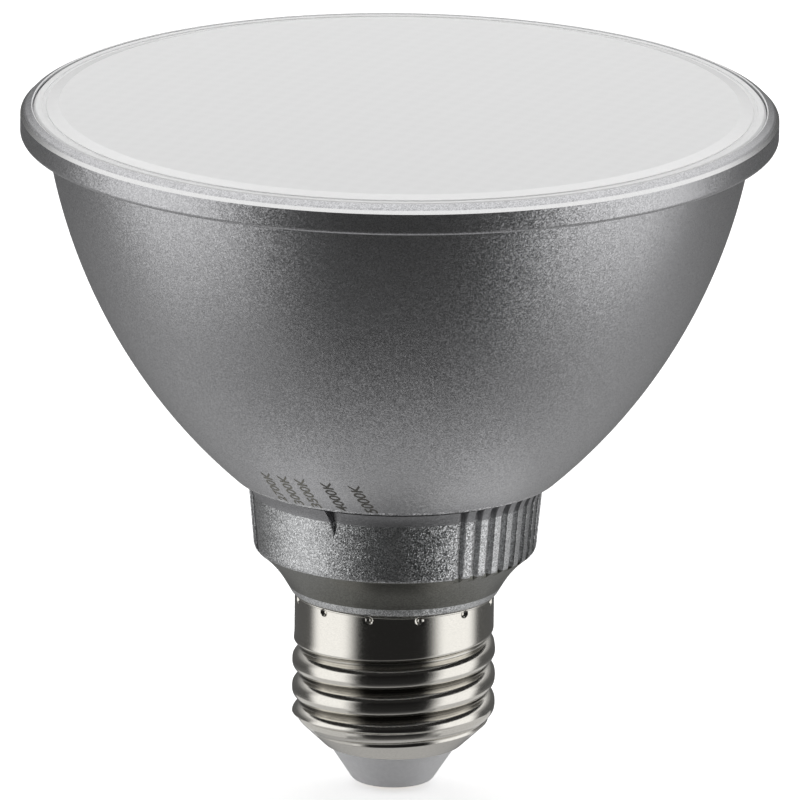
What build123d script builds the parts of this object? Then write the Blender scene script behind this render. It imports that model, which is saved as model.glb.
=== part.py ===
from build123d import *

import math
import os

os.makedirs("parts", exist_ok=True)

# A reflector lamp with a turning colour selector, in millimetres.
# The origin is the middle of the centre contact's face, and +Z runs along the lamp's axis to the lens.
# The selector's pointer faces -Y at rest, and its two grip zones face +X and -X.

# Clearances
running_gap = 0.06
seat_gap = 0.02
board_gap = 0.10
wire_gap = 0.05
overrun = 1.0

# Centre contact and insulator
contact_drop = 0.6
contact_r = 3.6
contact_flat_r = 2.4
contact_edge_h = 0.25
rivet_r = 1.25
rivet_head_r = 2.1
rivet_head_h = 0.6
insulator_tip_r = 5.1
insulator_round = 1.0
insulator_plug_h = 2.6

# Screw shell: rolled sheet with a knuckle thread
shell_sheet = 0.3
shell_lip_z = 5.6
shell_lip_r = 8.4
shell_lip_w = 0.55
shell_cone_slope = 1.05
shell_r = 13.0
shell_h = 20.1
shell_band_inset = 0.25
shell_band_h = 5.7
shell_taper_h = 2.2
thread_pitch = 3.629
thread_depth = 1.15
thread_crest_round = 1.2
thread_crest_break = 0.03
thread_turn_gap = 0.1
thread_foot_rise = 3.26
thread_turns = 3.12
thread_runout_turns = 0.34
thread_runout_rise = 1.5
thread_leadin_turns = 0.5
thread_leadin_slope = 0.35
crimp_count = 12
crimp_angle = 9.5
crimp_r = 0.62
crimp_depth = 0.42
crimp_below_top = 1.0

# Selector collar
lip_gap = 0.12
lip_proud = 0.45
lip_draft = 0.65
lip_h = 1.1
cone_h = 4.8
cone_run = 4.2
cone_sag = 0.35
wall_h = 7.6
wall_draft = 0.7
flare_h = 1.78
flare_out = 0.9
flare_sag = 0.12
collar_wall = 1.6
collar_top_gap = 0.4
grip_grooves = 12
grip_pitch_angle = 7.0
grip_groove_w = 0.95
grip_groove_depth = 0.7
pointer_h = 3.6
pointer_w = 2.1
pointer_depth = 0.7

# Selector drive
turn_back_angle = 26.0
turn_on_angle = 16.0
key_w = 2.4
key_h = 3.0
key_below_board = 1.4
key_pass_gap = 0.17
slot_spare_angle = 3.0
slot_spare_h = 0.5
wiper_w = 1.6
wiper_sheet = 0.2
wiper_reach = 1.5

# Neck housing
neck_wall = 1.6
neck_gap = 0.35
spigot_l = 3.4
crimp_groove_h = 1.9
crimp_groove_depth = 0.85
flange_w = 3.5
flange_h = 2.0
ledge_w = 1.1
ledge_below_foot = 3.7
rail_w = 3.4
rail_h = 8.0
rail_grip = 0.8

# Bowl
foot_overhang = 1.3
foot_round = 0.25
bowl_h = 44.2
bowl_curve_r = 74.0
bowl_wall = 1.8
floor_h = 2.6
rim_r = 48.25
rim_overhang = 3.35
rim_band_h = 2.8
rim_bevel = 0.65
rim_top_w = 0.9
rim_top_rise = 0.45
rim_edge_round = 0.6
lens_seat_depth = 2.3
spreader_rise = 20.7
spreader_ledge_w = 1.6
spreader_ledge_h = 1.5
boss_r = 2.4
boss_h = 6.0
boss_inset = 1.3

# Front lens
lens_gap = 0.25
lens_edge_h = 2.2
lens_edge_bevel = 0.4
lens_ring_w = 0.7
lens_groove_w = 0.55
lens_groove_depth = 0.15
lens_shoulder_w = 1.65
lens_shoulder_rise = 0.35
lens_dome_rise = 1.0
lens_wall = 1.6
lens_skirt_wall = 1.2
lens_skirt_h = 3.0
lens_skirt_gap = 0.3

# Light engine
spreader_h = 2.0
spreader_gap = 0.5
spreader_hole_r = 3.0
light_board_h = 1.2
light_board_inset = 1.2
chip_w = 3.0
chip_h = 0.7
inner_chip_ring_r = 9.0
inner_chip_count = 6
outer_chip_ring_r = 20.0
outer_chip_count = 12

# Driver
board_w = 17.0
board_t = 1.2
board_l = 33.0
board_rise = 4.3
selector_board_h = 1.0
selector_board_pass = 1.0
capacitor_r = 3.5
capacitor_h = 14.0
capacitor_rise = 9.0
capacitor_round = 0.4
transformer_w = 10.0
transformer_d = 5.5
transformer_h = 9.0
transformer_rise = 11.0
winding_w = 6.0
winding_proud = 0.8
rectifier_w = 5.0
rectifier_d = 2.4
rectifier_h = 4.0
rectifier_rise = 2.2
rectifier_bevel = 0.6
wire_r = 0.45
wire_bend_r = 0.9
wire_foot_run = 1.6
wire_cross_run = 1.5
wire_end_run = 1.5
neutral_below_spigot = 0.55
neutral_gap = 0.15
neutral_overlap = 2.6
lead_spacing = 2.4
lead_overlap = 5.0

# Screws
screw_count = 3
screw_r = 0.9
screw_head_r = 1.7
screw_head_h = 1.2
screw_head_round = 0.4
screw_hole_gap = 0.08
screw_tip_room = 0.2
neck_screw_angle = 30.0
neck_screw_bite = 2.0
board_screw_angle = 90.0
board_screw_bite = 3.0

# Worked-out sizes, from the base upwards
inner_lip_z = shell_lip_z + shell_sheet
insulator_top_z = inner_lip_z + insulator_plug_h
rivet_top_z = insulator_top_z + rivet_head_h
shell_inner_r = shell_r - shell_sheet
shell_top_z = shell_lip_z + shell_h
shell_band_r = shell_r - shell_band_inset
shell_band_z = shell_top_z - shell_band_h
shell_taper_z = shell_band_z - shell_taper_h
band_inner_r = shell_band_r - shell_sheet
shell_cone_foot_r = shell_lip_r + shell_lip_w
shell_cone_top_z = shell_lip_z + (shell_r - shell_cone_foot_r) / shell_cone_slope
shell_cone_shift = shell_sheet * math.hypot(1, shell_cone_slope)
inner_cone_foot_r = shell_cone_foot_r + shell_cone_slope * shell_sheet - shell_cone_shift
inner_cone_top_z = inner_lip_z + (shell_inner_r - inner_cone_foot_r) / shell_cone_slope
crimp_z = shell_top_z - crimp_below_top
crimp_ball_r = (crimp_r**2 + crimp_depth**2) / (2 * crimp_depth)
crimp_centre_r = shell_band_r - crimp_depth + crimp_ball_r
lip_bottom_z = shell_top_z + lip_gap
lip_top_z = lip_bottom_z + lip_h
knee_z = lip_top_z + cone_h
wall_top_z = knee_z + wall_h
collar_top_z = wall_top_z + flare_h
lip_bottom_r = shell_band_r + lip_proud
lip_top_r = lip_bottom_r + lip_draft
knee_r = lip_top_r + cone_run
wall_top_r = knee_r + wall_draft
flare_r = wall_top_r + flare_out
wall_slope = wall_draft / wall_h
cone_slope = cone_run / cone_h
cone_stretch = math.hypot(1, cone_slope)
spigot_r = band_inner_r - seat_gap
spigot_bore_r = spigot_r - neck_wall
spigot_bottom_z = shell_top_z - spigot_l
lip_bore_r = spigot_r + running_gap
collar_bore_r = knee_r - collar_wall
neck_r = collar_bore_r - running_gap
neck_bore_r = neck_r - neck_wall
neck_low_bore_r = neck_bore_r - ledge_w
foot_z = collar_top_z + collar_top_gap
foot_r = flare_r + foot_overhang
floor_z = foot_z + floor_h
flange_r = neck_r + flange_w
flange_top_z = floor_z + flange_h
neck_screw_circle_r = (neck_r + flange_r) / 2
ledge_z = foot_z - ledge_below_foot
key_top_z = ledge_z - key_below_board
key_bottom_z = key_top_z - key_h
key_inner_r = spigot_r + key_pass_gap
mouth_r = rim_r - rim_overhang
band_bottom_z = foot_z + bowl_h
band_top_z = band_bottom_z + rim_band_h
rim_top_z = band_top_z + rim_bevel
rim_inner_r = rim_r - rim_bevel - rim_top_w
rim_inner_z = rim_top_z + rim_top_rise
lens_seat_z = rim_inner_z - lens_seat_depth
lens_r = rim_inner_r - lens_gap
lens_edge_z = lens_seat_z + lens_edge_h
spreader_z = foot_z + spreader_rise
light_board_z = spreader_z + spreader_h
light_board_top_z = light_board_z + light_board_h
board_bottom_z = rivet_top_z + board_rise
board_top_z = board_bottom_z + board_l
wire_y = board_t / 2 + wire_gap + wire_r
screw_hole_r = screw_r + screw_hole_gap

# The bowl's side is one arc through its foot and its mouth
bowl_chord = math.hypot(mouth_r - foot_r, bowl_h)
bowl_reach = math.sqrt(bowl_curve_r**2 - (bowl_chord / 2) ** 2)
bowl_centre_r = (mouth_r + foot_r) / 2 - bowl_reach * bowl_h / bowl_chord
bowl_centre_z = foot_z + bowl_h / 2 + bowl_reach * (mouth_r - foot_r) / bowl_chord

# The thread's section is three arcs that meet without a corner
thread_half = (thread_pitch - thread_turn_gap) / 2
thread_cut = thread_depth + thread_crest_break
thread_arcs = (thread_half**2 + thread_cut**2) / (2 * thread_cut)
thread_foot_z = shell_lip_z + thread_foot_rise


def bowl_r(z, inset):
    """Radius of the bowl's side at a height, set in from its outer face."""
    return bowl_centre_r + math.sqrt((bowl_curve_r - inset) ** 2 - (z - bowl_centre_z) ** 2)


def cone_inner_z(r, inset):
    """Height at which a surface set in from the collar's outer cone has a radius."""
    return lip_top_z + (r - lip_top_r + inset * cone_stretch) / cone_slope


def radial_plane(angle):
    """Plane through the lamp's axis, with its first axis pointing outwards at an angle."""
    turn = math.radians(angle)
    outwards = (math.cos(turn), math.sin(turn), 0)
    return Plane(origin=(0, 0, 0), x_dir=outwards, z_dir=(math.sin(turn), -math.cos(turn), 0))


def thread_cutters(path_r, crest_round):
    """Helical cutters for the knuckle thread: a tapered lead-in, the full turns and a run-out."""
    meet_in = crest_round * (thread_arcs - thread_cut) / thread_arcs - crest_round
    meet_up = thread_half * (1 - crest_round / thread_arcs)
    leadin_shift = thread_leadin_slope * thread_leadin_turns * thread_pitch
    runout_slope = thread_runout_rise / (thread_runout_turns * thread_pitch)
    stretches = (
        (-thread_leadin_turns, path_r - leadin_shift, thread_leadin_turns, thread_leadin_slope),
        (0, path_r, thread_turns, 0),
        (thread_turns, path_r, thread_runout_turns, runout_slope),
    )
    cutters = []
    for start_turn, start_r, turns, slope in stretches:
        start = radial_plane(360 * start_turn)
        start_z = thread_foot_z + start_turn * thread_pitch
        floor = Plane(origin=(0, 0, start_z), x_dir=start.x_dir, z_dir=(0, 0, 1))
        section = Plane(origin=floor.from_local_coords((start_r, 0, 0)), x_dir=start.x_dir, z_dir=start.z_dir)
        with BuildPart() as cutter:
            with BuildLine(floor) as path:
                Helix(thread_pitch, turns * thread_pitch, start_r, cone_angle=math.degrees(math.atan(slope)))
            with BuildSketch(section):
                with BuildLine():
                    TangentArc((0, -thread_half), (meet_in, -meet_up), tangent=(0, 1))
                    ThreePointArc((meet_in, -meet_up), (-thread_cut, 0), (meet_in, meet_up))
                    TangentArc((0, thread_half), (meet_in, meet_up), tangent=(0, -1))
                    Polyline(
                        (0, thread_half),
                        (overrun, thread_half),
                        (overrun, -thread_half),
                        (0, -thread_half),
                    )
                make_face()
            sweep(path=path.line, normal=(0, 0, 1))
        cutters.append(cutter.part)
    return cutters


# Screw shell: the inside repeats the thread one sheet deeper
with BuildPart() as shell_hollow:
    with BuildSketch(Plane.XZ):
        with BuildLine():
            Polyline(
                (0, shell_lip_z - overrun),
                (shell_lip_r, shell_lip_z - overrun),
                (shell_lip_r, inner_lip_z),
                (inner_cone_foot_r, inner_lip_z),
                (shell_inner_r, inner_cone_top_z),
                (shell_inner_r, shell_taper_z),
                (band_inner_r, shell_band_z),
                (band_inner_r, shell_top_z + overrun),
                (0, shell_top_z + overrun),
                close=True,
            )
        make_face()
    revolve(axis=Axis.Z)
for thread_cutter in thread_cutters(shell_inner_r + thread_crest_break, thread_crest_round - shell_sheet):
    shell_hollow.part = shell_hollow.part - thread_cutter

# Backs of the punched crimps that lock the shell to the neck
with BuildPart() as crimp_backs:
    with Locations((0, 0, crimp_z)):
        with PolarLocations(crimp_centre_r, crimp_count, start_angle=crimp_angle):
            Sphere(crimp_ball_r + shell_sheet)
        Cylinder(shell_band_r - shell_sheet / 2, 2 * crimp_below_top, mode=Mode.INTERSECT)

outer_thread_cutters = thread_cutters(shell_r + thread_crest_break, thread_crest_round)
with BuildPart() as screw_shell:
    with BuildSketch(Plane.XZ):
        with BuildLine():
            Polyline(
                (0, shell_lip_z),
                (shell_cone_foot_r, shell_lip_z),
                (shell_r, shell_cone_top_z),
                (shell_r, shell_taper_z),
                (shell_band_r, shell_band_z),
                (shell_band_r, shell_top_z),
                (0, shell_top_z),
                close=True,
            )
        make_face()
    revolve(axis=Axis.Z)
    for thread_cutter in outer_thread_cutters:
        add(thread_cutter, mode=Mode.SUBTRACT)
    add(shell_hollow.part, mode=Mode.SUBTRACT)
    add(crimp_backs.part)
    with Locations((0, 0, crimp_z)):
        with PolarLocations(crimp_centre_r, crimp_count, start_angle=crimp_angle):
            Sphere(crimp_ball_r, mode=Mode.SUBTRACT)
screw_shell.part.label = "screw_shell"
export_step(screw_shell.part, "parts/screw_shell.step")

# Insulator: a pale cone below the shell's lip and a plug that fills the cone inside it
with BuildPart() as base_insulator:
    with BuildSketch(Plane.XZ):
        with BuildLine():
            Polyline(
                (rivet_r + seat_gap, contact_drop),
                (insulator_tip_r, contact_drop),
                (shell_lip_r - seat_gap, shell_lip_z),
                (shell_lip_r - seat_gap, inner_lip_z + seat_gap),
                (inner_cone_foot_r - seat_gap, inner_lip_z + seat_gap),
                (inner_cone_foot_r + shell_cone_slope * insulator_plug_h - board_gap, insulator_top_z),
                (rivet_r + seat_gap, insulator_top_z),
                close=True,
            )
        make_face()
    revolve(axis=Axis.Z)
    fillet(base_insulator.edges().group_by(Axis.Z)[0].sort_by(SortBy.RADIUS)[-1], insulator_round)
base_insulator.part.label = "base_insulator"
export_step(base_insulator.part, "parts/base_insulator.step")

# Centre contact: a button on a rivet that is clenched over the insulator
with BuildPart() as centre_contact:
    with BuildSketch(Plane.XZ):
        with BuildLine():
            Polyline(
                (0, 0),
                (contact_flat_r, 0),
                (contact_r, contact_drop - contact_edge_h),
                (contact_r, contact_drop),
                (rivet_r, contact_drop),
                (rivet_r, insulator_top_z),
                (rivet_head_r, insulator_top_z),
                (rivet_head_r, rivet_top_z),
                (0, rivet_top_z),
                close=True,
            )
        make_face()
    revolve(axis=Axis.Z)
centre_contact.part.label = "centre_contact"
export_step(centre_contact.part, "parts/centre_contact.step")

# Neck housing: the spigot for the shell, the journals for the collar and the flange on the bowl's floor
neck_inset = collar_wall + neck_gap
bore_inset = neck_inset + neck_wall
slot_start_angle = 90 - turn_back_angle - slot_spare_angle - math.degrees(math.asin(key_w / 2 / key_inner_r))
slot_span_angle = 2 * (90 - slot_start_angle) - turn_back_angle + turn_on_angle
with BuildPart() as neck_housing:
    with BuildSketch(Plane.XZ):
        with BuildLine():
            Polyline(
                (spigot_bore_r, spigot_bottom_z),
                (spigot_r, spigot_bottom_z),
                (spigot_r, cone_inner_z(spigot_r, neck_inset)),
                (neck_r, cone_inner_z(neck_r, neck_inset)),
                (neck_r, floor_z + seat_gap),
                (flange_r, floor_z + seat_gap),
                (flange_r, flange_top_z),
                (neck_bore_r, flange_top_z),
                (neck_bore_r, ledge_z),
                (neck_low_bore_r, ledge_z),
                (neck_low_bore_r, cone_inner_z(neck_low_bore_r, bore_inset)),
                (spigot_bore_r, cone_inner_z(spigot_bore_r, bore_inset)),
                close=True,
            )
        make_face()
    revolve(axis=Axis.Z)
    # Ring groove that the crimps are punched into
    with BuildSketch(Plane.XZ):
        with Locations((spigot_r, crimp_z)):
            Rectangle(2 * crimp_groove_depth, crimp_groove_h)
    revolve(axis=Axis.Z, mode=Mode.SUBTRACT)
    # Arc window for the collar's drive key, open down to the cone so that the key can enter from below
    slot_low_z = cone_inner_z(key_inner_r, neck_inset)
    slot_high_z = key_top_z + slot_spare_h
    with BuildSketch(radial_plane(slot_start_angle)):
        with BuildLine():
            Polyline(
                (spigot_bore_r, slot_low_z),
                (neck_r + overrun, slot_low_z),
                (neck_r + overrun, slot_high_z),
                (spigot_bore_r, slot_high_z),
                close=True,
            )
        make_face()
    revolve(axis=Axis.Z, revolution_arc=slot_span_angle, mode=Mode.SUBTRACT)
    # Rails that hold the driver board by its two long edges
    rail_inner_r = board_w / 2 - rail_grip
    rail_mid_r = (rail_inner_r + spigot_r - neck_wall / 2) / 2
    rail_reach = spigot_r - neck_wall / 2 - rail_inner_r
    with BuildSketch(Plane.XY.offset(spigot_bottom_z)):
        with Locations((rail_mid_r, 0), (-rail_mid_r, 0)):
            Rectangle(rail_reach, rail_w)
        Rectangle(board_w + 2 * board_gap, board_t + 2 * board_gap, mode=Mode.SUBTRACT)
    extrude(amount=rail_h)
    with Locations((0, 0, flange_top_z)):
        with PolarLocations(neck_screw_circle_r, screw_count, start_angle=neck_screw_angle):
            Hole(screw_hole_r, depth=flange_h + overrun)
neck_housing.part.label = "neck_housing"
export_step(neck_housing.part, "parts/neck_housing.step")

# One groove of the collar's grip, as a cutter that follows the wall's draft
groove_foot_r = knee_r - grip_groove_depth - wall_slope * cone_h
groove_top_r = wall_top_r - grip_groove_depth + wall_slope * (flare_h + overrun)
with BuildPart() as grip_groove:
    with BuildSketch(Plane.XZ):
        with BuildLine():
            Polyline(
                (groove_foot_r, lip_top_z),
                (flare_r + overrun, lip_top_z),
                (flare_r + overrun, collar_top_z + overrun),
                (groove_top_r, collar_top_z + overrun),
                close=True,
            )
        make_face()
    extrude(amount=grip_groove_w / 2, both=True)

# Selector collar: turns on the neck, between the shell's top edge and the bowl's foot
grip_span = grip_grooves * grip_pitch_angle
grip_start = (grip_pitch_angle - grip_span) / 2
with BuildPart() as selector_collar:
    with BuildSketch(Plane.XZ):
        with BuildLine():
            Polyline((lip_bore_r, lip_bottom_z), (lip_bottom_r, lip_bottom_z), (lip_top_r, lip_top_z))
            SagittaArc((lip_top_r, lip_top_z), (knee_r, knee_z), cone_sag)
            Line((knee_r, knee_z), (wall_top_r, wall_top_z))
            SagittaArc((wall_top_r, wall_top_z), (flare_r, collar_top_z), flare_sag)
            Polyline(
                (flare_r, collar_top_z),
                (collar_bore_r, collar_top_z),
                (collar_bore_r, cone_inner_z(collar_bore_r, collar_wall)),
                (lip_bore_r, cone_inner_z(lip_bore_r, collar_wall)),
                (lip_bore_r, lip_bottom_z),
            )
        make_face()
    revolve(axis=Axis.Z)
    # Engraved pointer, wide at the top and run out to a point on the wall
    with BuildSketch(Plane.XZ.offset(wall_top_r - pointer_depth)):
        with BuildLine():
            Polyline(
                (0, collar_top_z - pointer_h),
                (pointer_w / 2, collar_top_z),
                (-pointer_w / 2, collar_top_z),
                close=True,
            )
        make_face()
    extrude(amount=pointer_depth + flare_out + overrun, mode=Mode.SUBTRACT)
    for zone_angle in (0, 180):
        with PolarLocations(0, grip_grooves, start_angle=zone_angle + grip_start, angular_range=grip_span):
            add(grip_groove.part, mode=Mode.SUBTRACT)
    # Drive key on the back, reaching through the neck's window
    with BuildSketch(Plane.XY.offset(key_bottom_z)):
        with Locations((0, key_inner_r)):
            Rectangle(key_w, collar_bore_r + collar_wall / 2 - key_inner_r, align=(Align.CENTER, Align.MIN))
    extrude(amount=key_h)
selector_collar.part.label = "selector_collar"
export_step(selector_collar.part, "parts/selector_collar.step")

# Wiper: a bent spring leaf on the key's inner end that sweeps the selector board's tracks
wiper_tip_z = ledge_z - wire_gap
wiper_bend_z = key_top_z + wiper_sheet
with BuildPart() as contact_wiper:
    with BuildSketch(Plane.YZ):
        with BuildLine():
            Polyline(
                (key_inner_r - seat_gap, key_bottom_z),
                (key_inner_r - seat_gap, wiper_bend_z),
                (key_inner_r - wiper_reach, wiper_tip_z),
                (key_inner_r - wiper_reach - wiper_sheet, wiper_tip_z - wiper_sheet),
                (key_inner_r - seat_gap - wiper_sheet, wiper_bend_z - wiper_sheet),
                (key_inner_r - seat_gap - wiper_sheet, key_bottom_z),
                close=True,
            )
        make_face()
    extrude(amount=wiper_w / 2, both=True)
contact_wiper.part.label = "contact_wiper"
export_step(contact_wiper.part, "parts/contact_wiper.step")

# Selector board: a ring of contact tracks on the neck's ledge
selector_board_r = neck_bore_r - board_gap
with BuildPart() as selector_board:
    with BuildSketch(Plane.XY.offset(ledge_z)):
        Circle(selector_board_r)
        Circle(board_w / 2 + selector_board_pass, mode=Mode.SUBTRACT)
    extrude(amount=selector_board_h)
selector_board.part.label = "selector_board"
export_step(selector_board.part, "parts/selector_board.step")

# Driver board, upright on the lamp's axis, and what is soldered to it
with BuildPart() as driver_board:
    with BuildSketch(Plane.XY.offset(board_bottom_z)):
        Rectangle(board_w, board_t)
    extrude(amount=board_l)
driver_board.part.label = "driver_board"
export_step(driver_board.part, "parts/driver_board.step")

board_face_y = board_t / 2 + seat_gap
with BuildPart() as storage_capacitor:
    with BuildSketch(Plane.XY.offset(board_bottom_z + capacitor_rise)):
        with Locations((0, board_face_y + capacitor_r)):
            Circle(capacitor_r)
    extrude(amount=capacitor_h)
    fillet(storage_capacitor.edges().filter_by(GeomType.CIRCLE), capacitor_round)
storage_capacitor.part.label = "storage_capacitor"
export_step(storage_capacitor.part, "parts/storage_capacitor.step")

with BuildPart() as transformer:
    with BuildSketch(Plane.XY.offset(board_bottom_z + transformer_rise)):
        with Locations((0, -board_face_y)):
            Rectangle(transformer_w, transformer_d, align=(Align.CENTER, Align.MAX))
    extrude(amount=transformer_h)
    # The winding stands proud of the core on its open side
    with BuildSketch(Plane.XY.offset(board_bottom_z + transformer_rise + (transformer_h - winding_w) / 2)):
        with Locations((0, -board_face_y - transformer_d)):
            Rectangle(winding_w, 2 * winding_proud)
    extrude(amount=winding_w)
transformer.part.label = "transformer"
export_step(transformer.part, "parts/transformer.step")

with BuildPart() as bridge_rectifier:
    with BuildSketch(Plane.XY.offset(board_bottom_z + rectifier_rise)):
        with Locations((0, board_face_y)):
            Rectangle(rectifier_w, rectifier_d, align=(Align.CENTER, Align.MIN))
    extrude(amount=rectifier_h)
    chamfer(bridge_rectifier.edges().group_by(Axis.Y)[-1].sort_by(Axis.Z)[-1], rectifier_bevel)
bridge_rectifier.part.label = "bridge_rectifier"
export_step(bridge_rectifier.part, "parts/bridge_rectifier.step")

# Live wire from the rivet's head to the driver board's foot
wire_cross_z = rivet_top_z + wire_foot_run
with BuildPart() as live_wire:
    with BuildLine() as live_path:
        FilletPolyline(
            (0, 0, rivet_top_z + seat_gap),
            (0, 0, wire_cross_z),
            (0, wire_y, wire_cross_z + wire_cross_run),
            (0, wire_y, board_bottom_z + wire_end_run),
            radius=wire_bend_r,
        )
    with BuildSketch(Plane.XY.offset(rivet_top_z + seat_gap)):
        Circle(wire_r)
    sweep(path=live_path.line)
live_wire.part.label = "live_wire"
export_step(live_wire.part, "parts/live_wire.step")

# Neutral wire from the shell's wall, just below the spigot, to the driver board
neutral_z = spigot_bottom_z - neutral_below_spigot
neutral_outer_x = band_inner_r - neutral_gap - wire_r
with BuildPart() as neutral_wire:
    with BuildSketch(Plane.YZ.offset(-neutral_outer_x)):
        with Locations((wire_y, neutral_z)):
            Circle(wire_r)
    extrude(amount=neutral_outer_x - board_w / 2 + neutral_overlap)
neutral_wire.part.label = "neutral_wire"
export_step(neutral_wire.part, "parts/neutral_wire.step")

# Two leads from the driver board up to the light board
lead_bottom_z = board_top_z - lead_overlap
with BuildPart() as lamp_leads:
    with BuildSketch(Plane.XY.offset(lead_bottom_z)):
        with Locations((lead_spacing / 2, wire_y), (-lead_spacing / 2, wire_y)):
            Circle(wire_r)
    extrude(amount=light_board_z - seat_gap - lead_bottom_z)
lamp_leads.part.label = "lamp_leads"
export_step(lamp_leads.part, "parts/lamp_leads.step")

# Bowl: one moulding with the rim, the floor, the heat spreader's ledge and its screw bosses
neck_hole_r = neck_r + running_gap
spreader_ledge_z = spreader_z - spreader_ledge_h
boss_circle_r = bowl_r(spreader_z - boss_h, bowl_wall) - boss_inset
with BuildPart() as bowl_housing:
    with BuildSketch(Plane.XZ):
        with BuildLine():
            Polyline((neck_hole_r, floor_z), (neck_hole_r, foot_z), (foot_r, foot_z))
            RadiusArc((foot_r, foot_z), (mouth_r, band_bottom_z), -bowl_curve_r)
            Polyline(
                (mouth_r, band_bottom_z),
                (rim_r, band_bottom_z),
                (rim_r, band_top_z),
                (rim_r - rim_bevel, rim_top_z),
                (rim_inner_r, rim_inner_z),
                (rim_inner_r, lens_seat_z),
                (bowl_r(lens_seat_z, bowl_wall), lens_seat_z),
            )
            RadiusArc(
                (bowl_r(floor_z, bowl_wall), floor_z),
                (bowl_r(lens_seat_z, bowl_wall), lens_seat_z),
                -(bowl_curve_r - bowl_wall),
            )
            Line((bowl_r(floor_z, bowl_wall), floor_z), (neck_hole_r, floor_z))
        make_face()
    revolve(axis=Axis.Z)
    for edge_z, edge_round in ((foot_z, foot_round), (band_bottom_z, rim_edge_round)):
        level_edges = bowl_housing.edges().filter_by_position(Axis.Z, edge_z - seat_gap, edge_z + seat_gap)
        fillet(level_edges.sort_by(SortBy.RADIUS)[-1], edge_round)
    with BuildSketch(Plane.XZ):
        with BuildLine():
            Polyline(
                (bowl_r(spreader_z, bowl_wall) - spreader_ledge_w, spreader_z),
                (bowl_r(spreader_z, bowl_wall / 2), spreader_z),
                (bowl_r(spreader_ledge_z, bowl_wall / 2), spreader_ledge_z),
                (bowl_r(spreader_z, bowl_wall) - spreader_ledge_w, spreader_ledge_z),
                close=True,
            )
        make_face()
    revolve(axis=Axis.Z)
    with BuildSketch(Plane.XY.offset(spreader_z - boss_h)):
        with PolarLocations(boss_circle_r, screw_count, start_angle=board_screw_angle):
            Circle(boss_r)
    extrude(amount=boss_h)
    with Locations((0, 0, spreader_z)):
        with PolarLocations(boss_circle_r, screw_count, start_angle=board_screw_angle):
            Hole(screw_hole_r, depth=board_screw_bite + screw_tip_room)
    with Locations((0, 0, floor_z)):
        with PolarLocations(neck_screw_circle_r, screw_count, start_angle=neck_screw_angle):
            Hole(screw_hole_r, depth=neck_screw_bite + screw_tip_room)
bowl_housing.part.label = "bowl_housing"
export_step(bowl_housing.part, "parts/bowl_housing.step")

# Heat spreader and light board, stacked on the bowl's ledge
spreader_r = bowl_r(spreader_z, bowl_wall) - spreader_gap
with BuildPart() as heat_spreader:
    with BuildSketch(Plane.XY.offset(spreader_z + seat_gap)):
        Circle(spreader_r)
        Circle(spreader_hole_r, mode=Mode.SUBTRACT)
        with PolarLocations(boss_circle_r, screw_count, start_angle=board_screw_angle):
            Circle(screw_hole_r, mode=Mode.SUBTRACT)
    extrude(amount=spreader_h - 2 * seat_gap)
heat_spreader.part.label = "heat_spreader"
export_step(heat_spreader.part, "parts/heat_spreader.step")

with BuildPart() as light_board:
    with BuildSketch(Plane.XY.offset(light_board_z)):
        Circle(spreader_r - light_board_inset)
        with PolarLocations(boss_circle_r, screw_count, start_angle=board_screw_angle):
            Circle(screw_hole_r, mode=Mode.SUBTRACT)
    extrude(amount=light_board_h)
light_board.part.label = "light_board"
export_step(light_board.part, "parts/light_board.step")

with BuildPart() as light_chips:
    with BuildSketch(Plane.XY.offset(light_board_top_z + seat_gap)):
        with PolarLocations(inner_chip_ring_r, inner_chip_count):
            Rectangle(chip_w, chip_w)
        with PolarLocations(outer_chip_ring_r, outer_chip_count):
            Rectangle(chip_w, chip_w)
    extrude(amount=chip_h)
light_chips.part.label = "light_chips"
export_step(light_chips.part, "parts/light_chips.step")

# Screws: the same form at two places, with the bite that each place has
screw_sets = (
    ("neck_screws", flange_top_z, flange_h + neck_screw_bite, neck_screw_circle_r, neck_screw_angle),
    (
        "board_screws",
        light_board_top_z,
        light_board_h + spreader_h + board_screw_bite,
        boss_circle_r,
        board_screw_angle,
    ),
)
for screw_name, seat_z, shank_l, circle_r, first_angle in screw_sets:
    with BuildPart() as screws:
        with BuildSketch(Plane.XY.offset(seat_z + seat_gap)):
            with PolarLocations(circle_r, screw_count, start_angle=first_angle):
                Circle(screw_head_r)
        extrude(amount=screw_head_h)
        fillet(screws.edges().filter_by(GeomType.CIRCLE).group_by(Axis.Z)[-1], screw_head_round)
        with BuildSketch(Plane.XY.offset(seat_z + seat_gap)):
            with PolarLocations(circle_r, screw_count, start_angle=first_angle):
                Circle(screw_r)
        extrude(amount=-shank_l)
    screws.part.label = screw_name
    export_step(screws.part, f"parts/{screw_name}.step")

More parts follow.
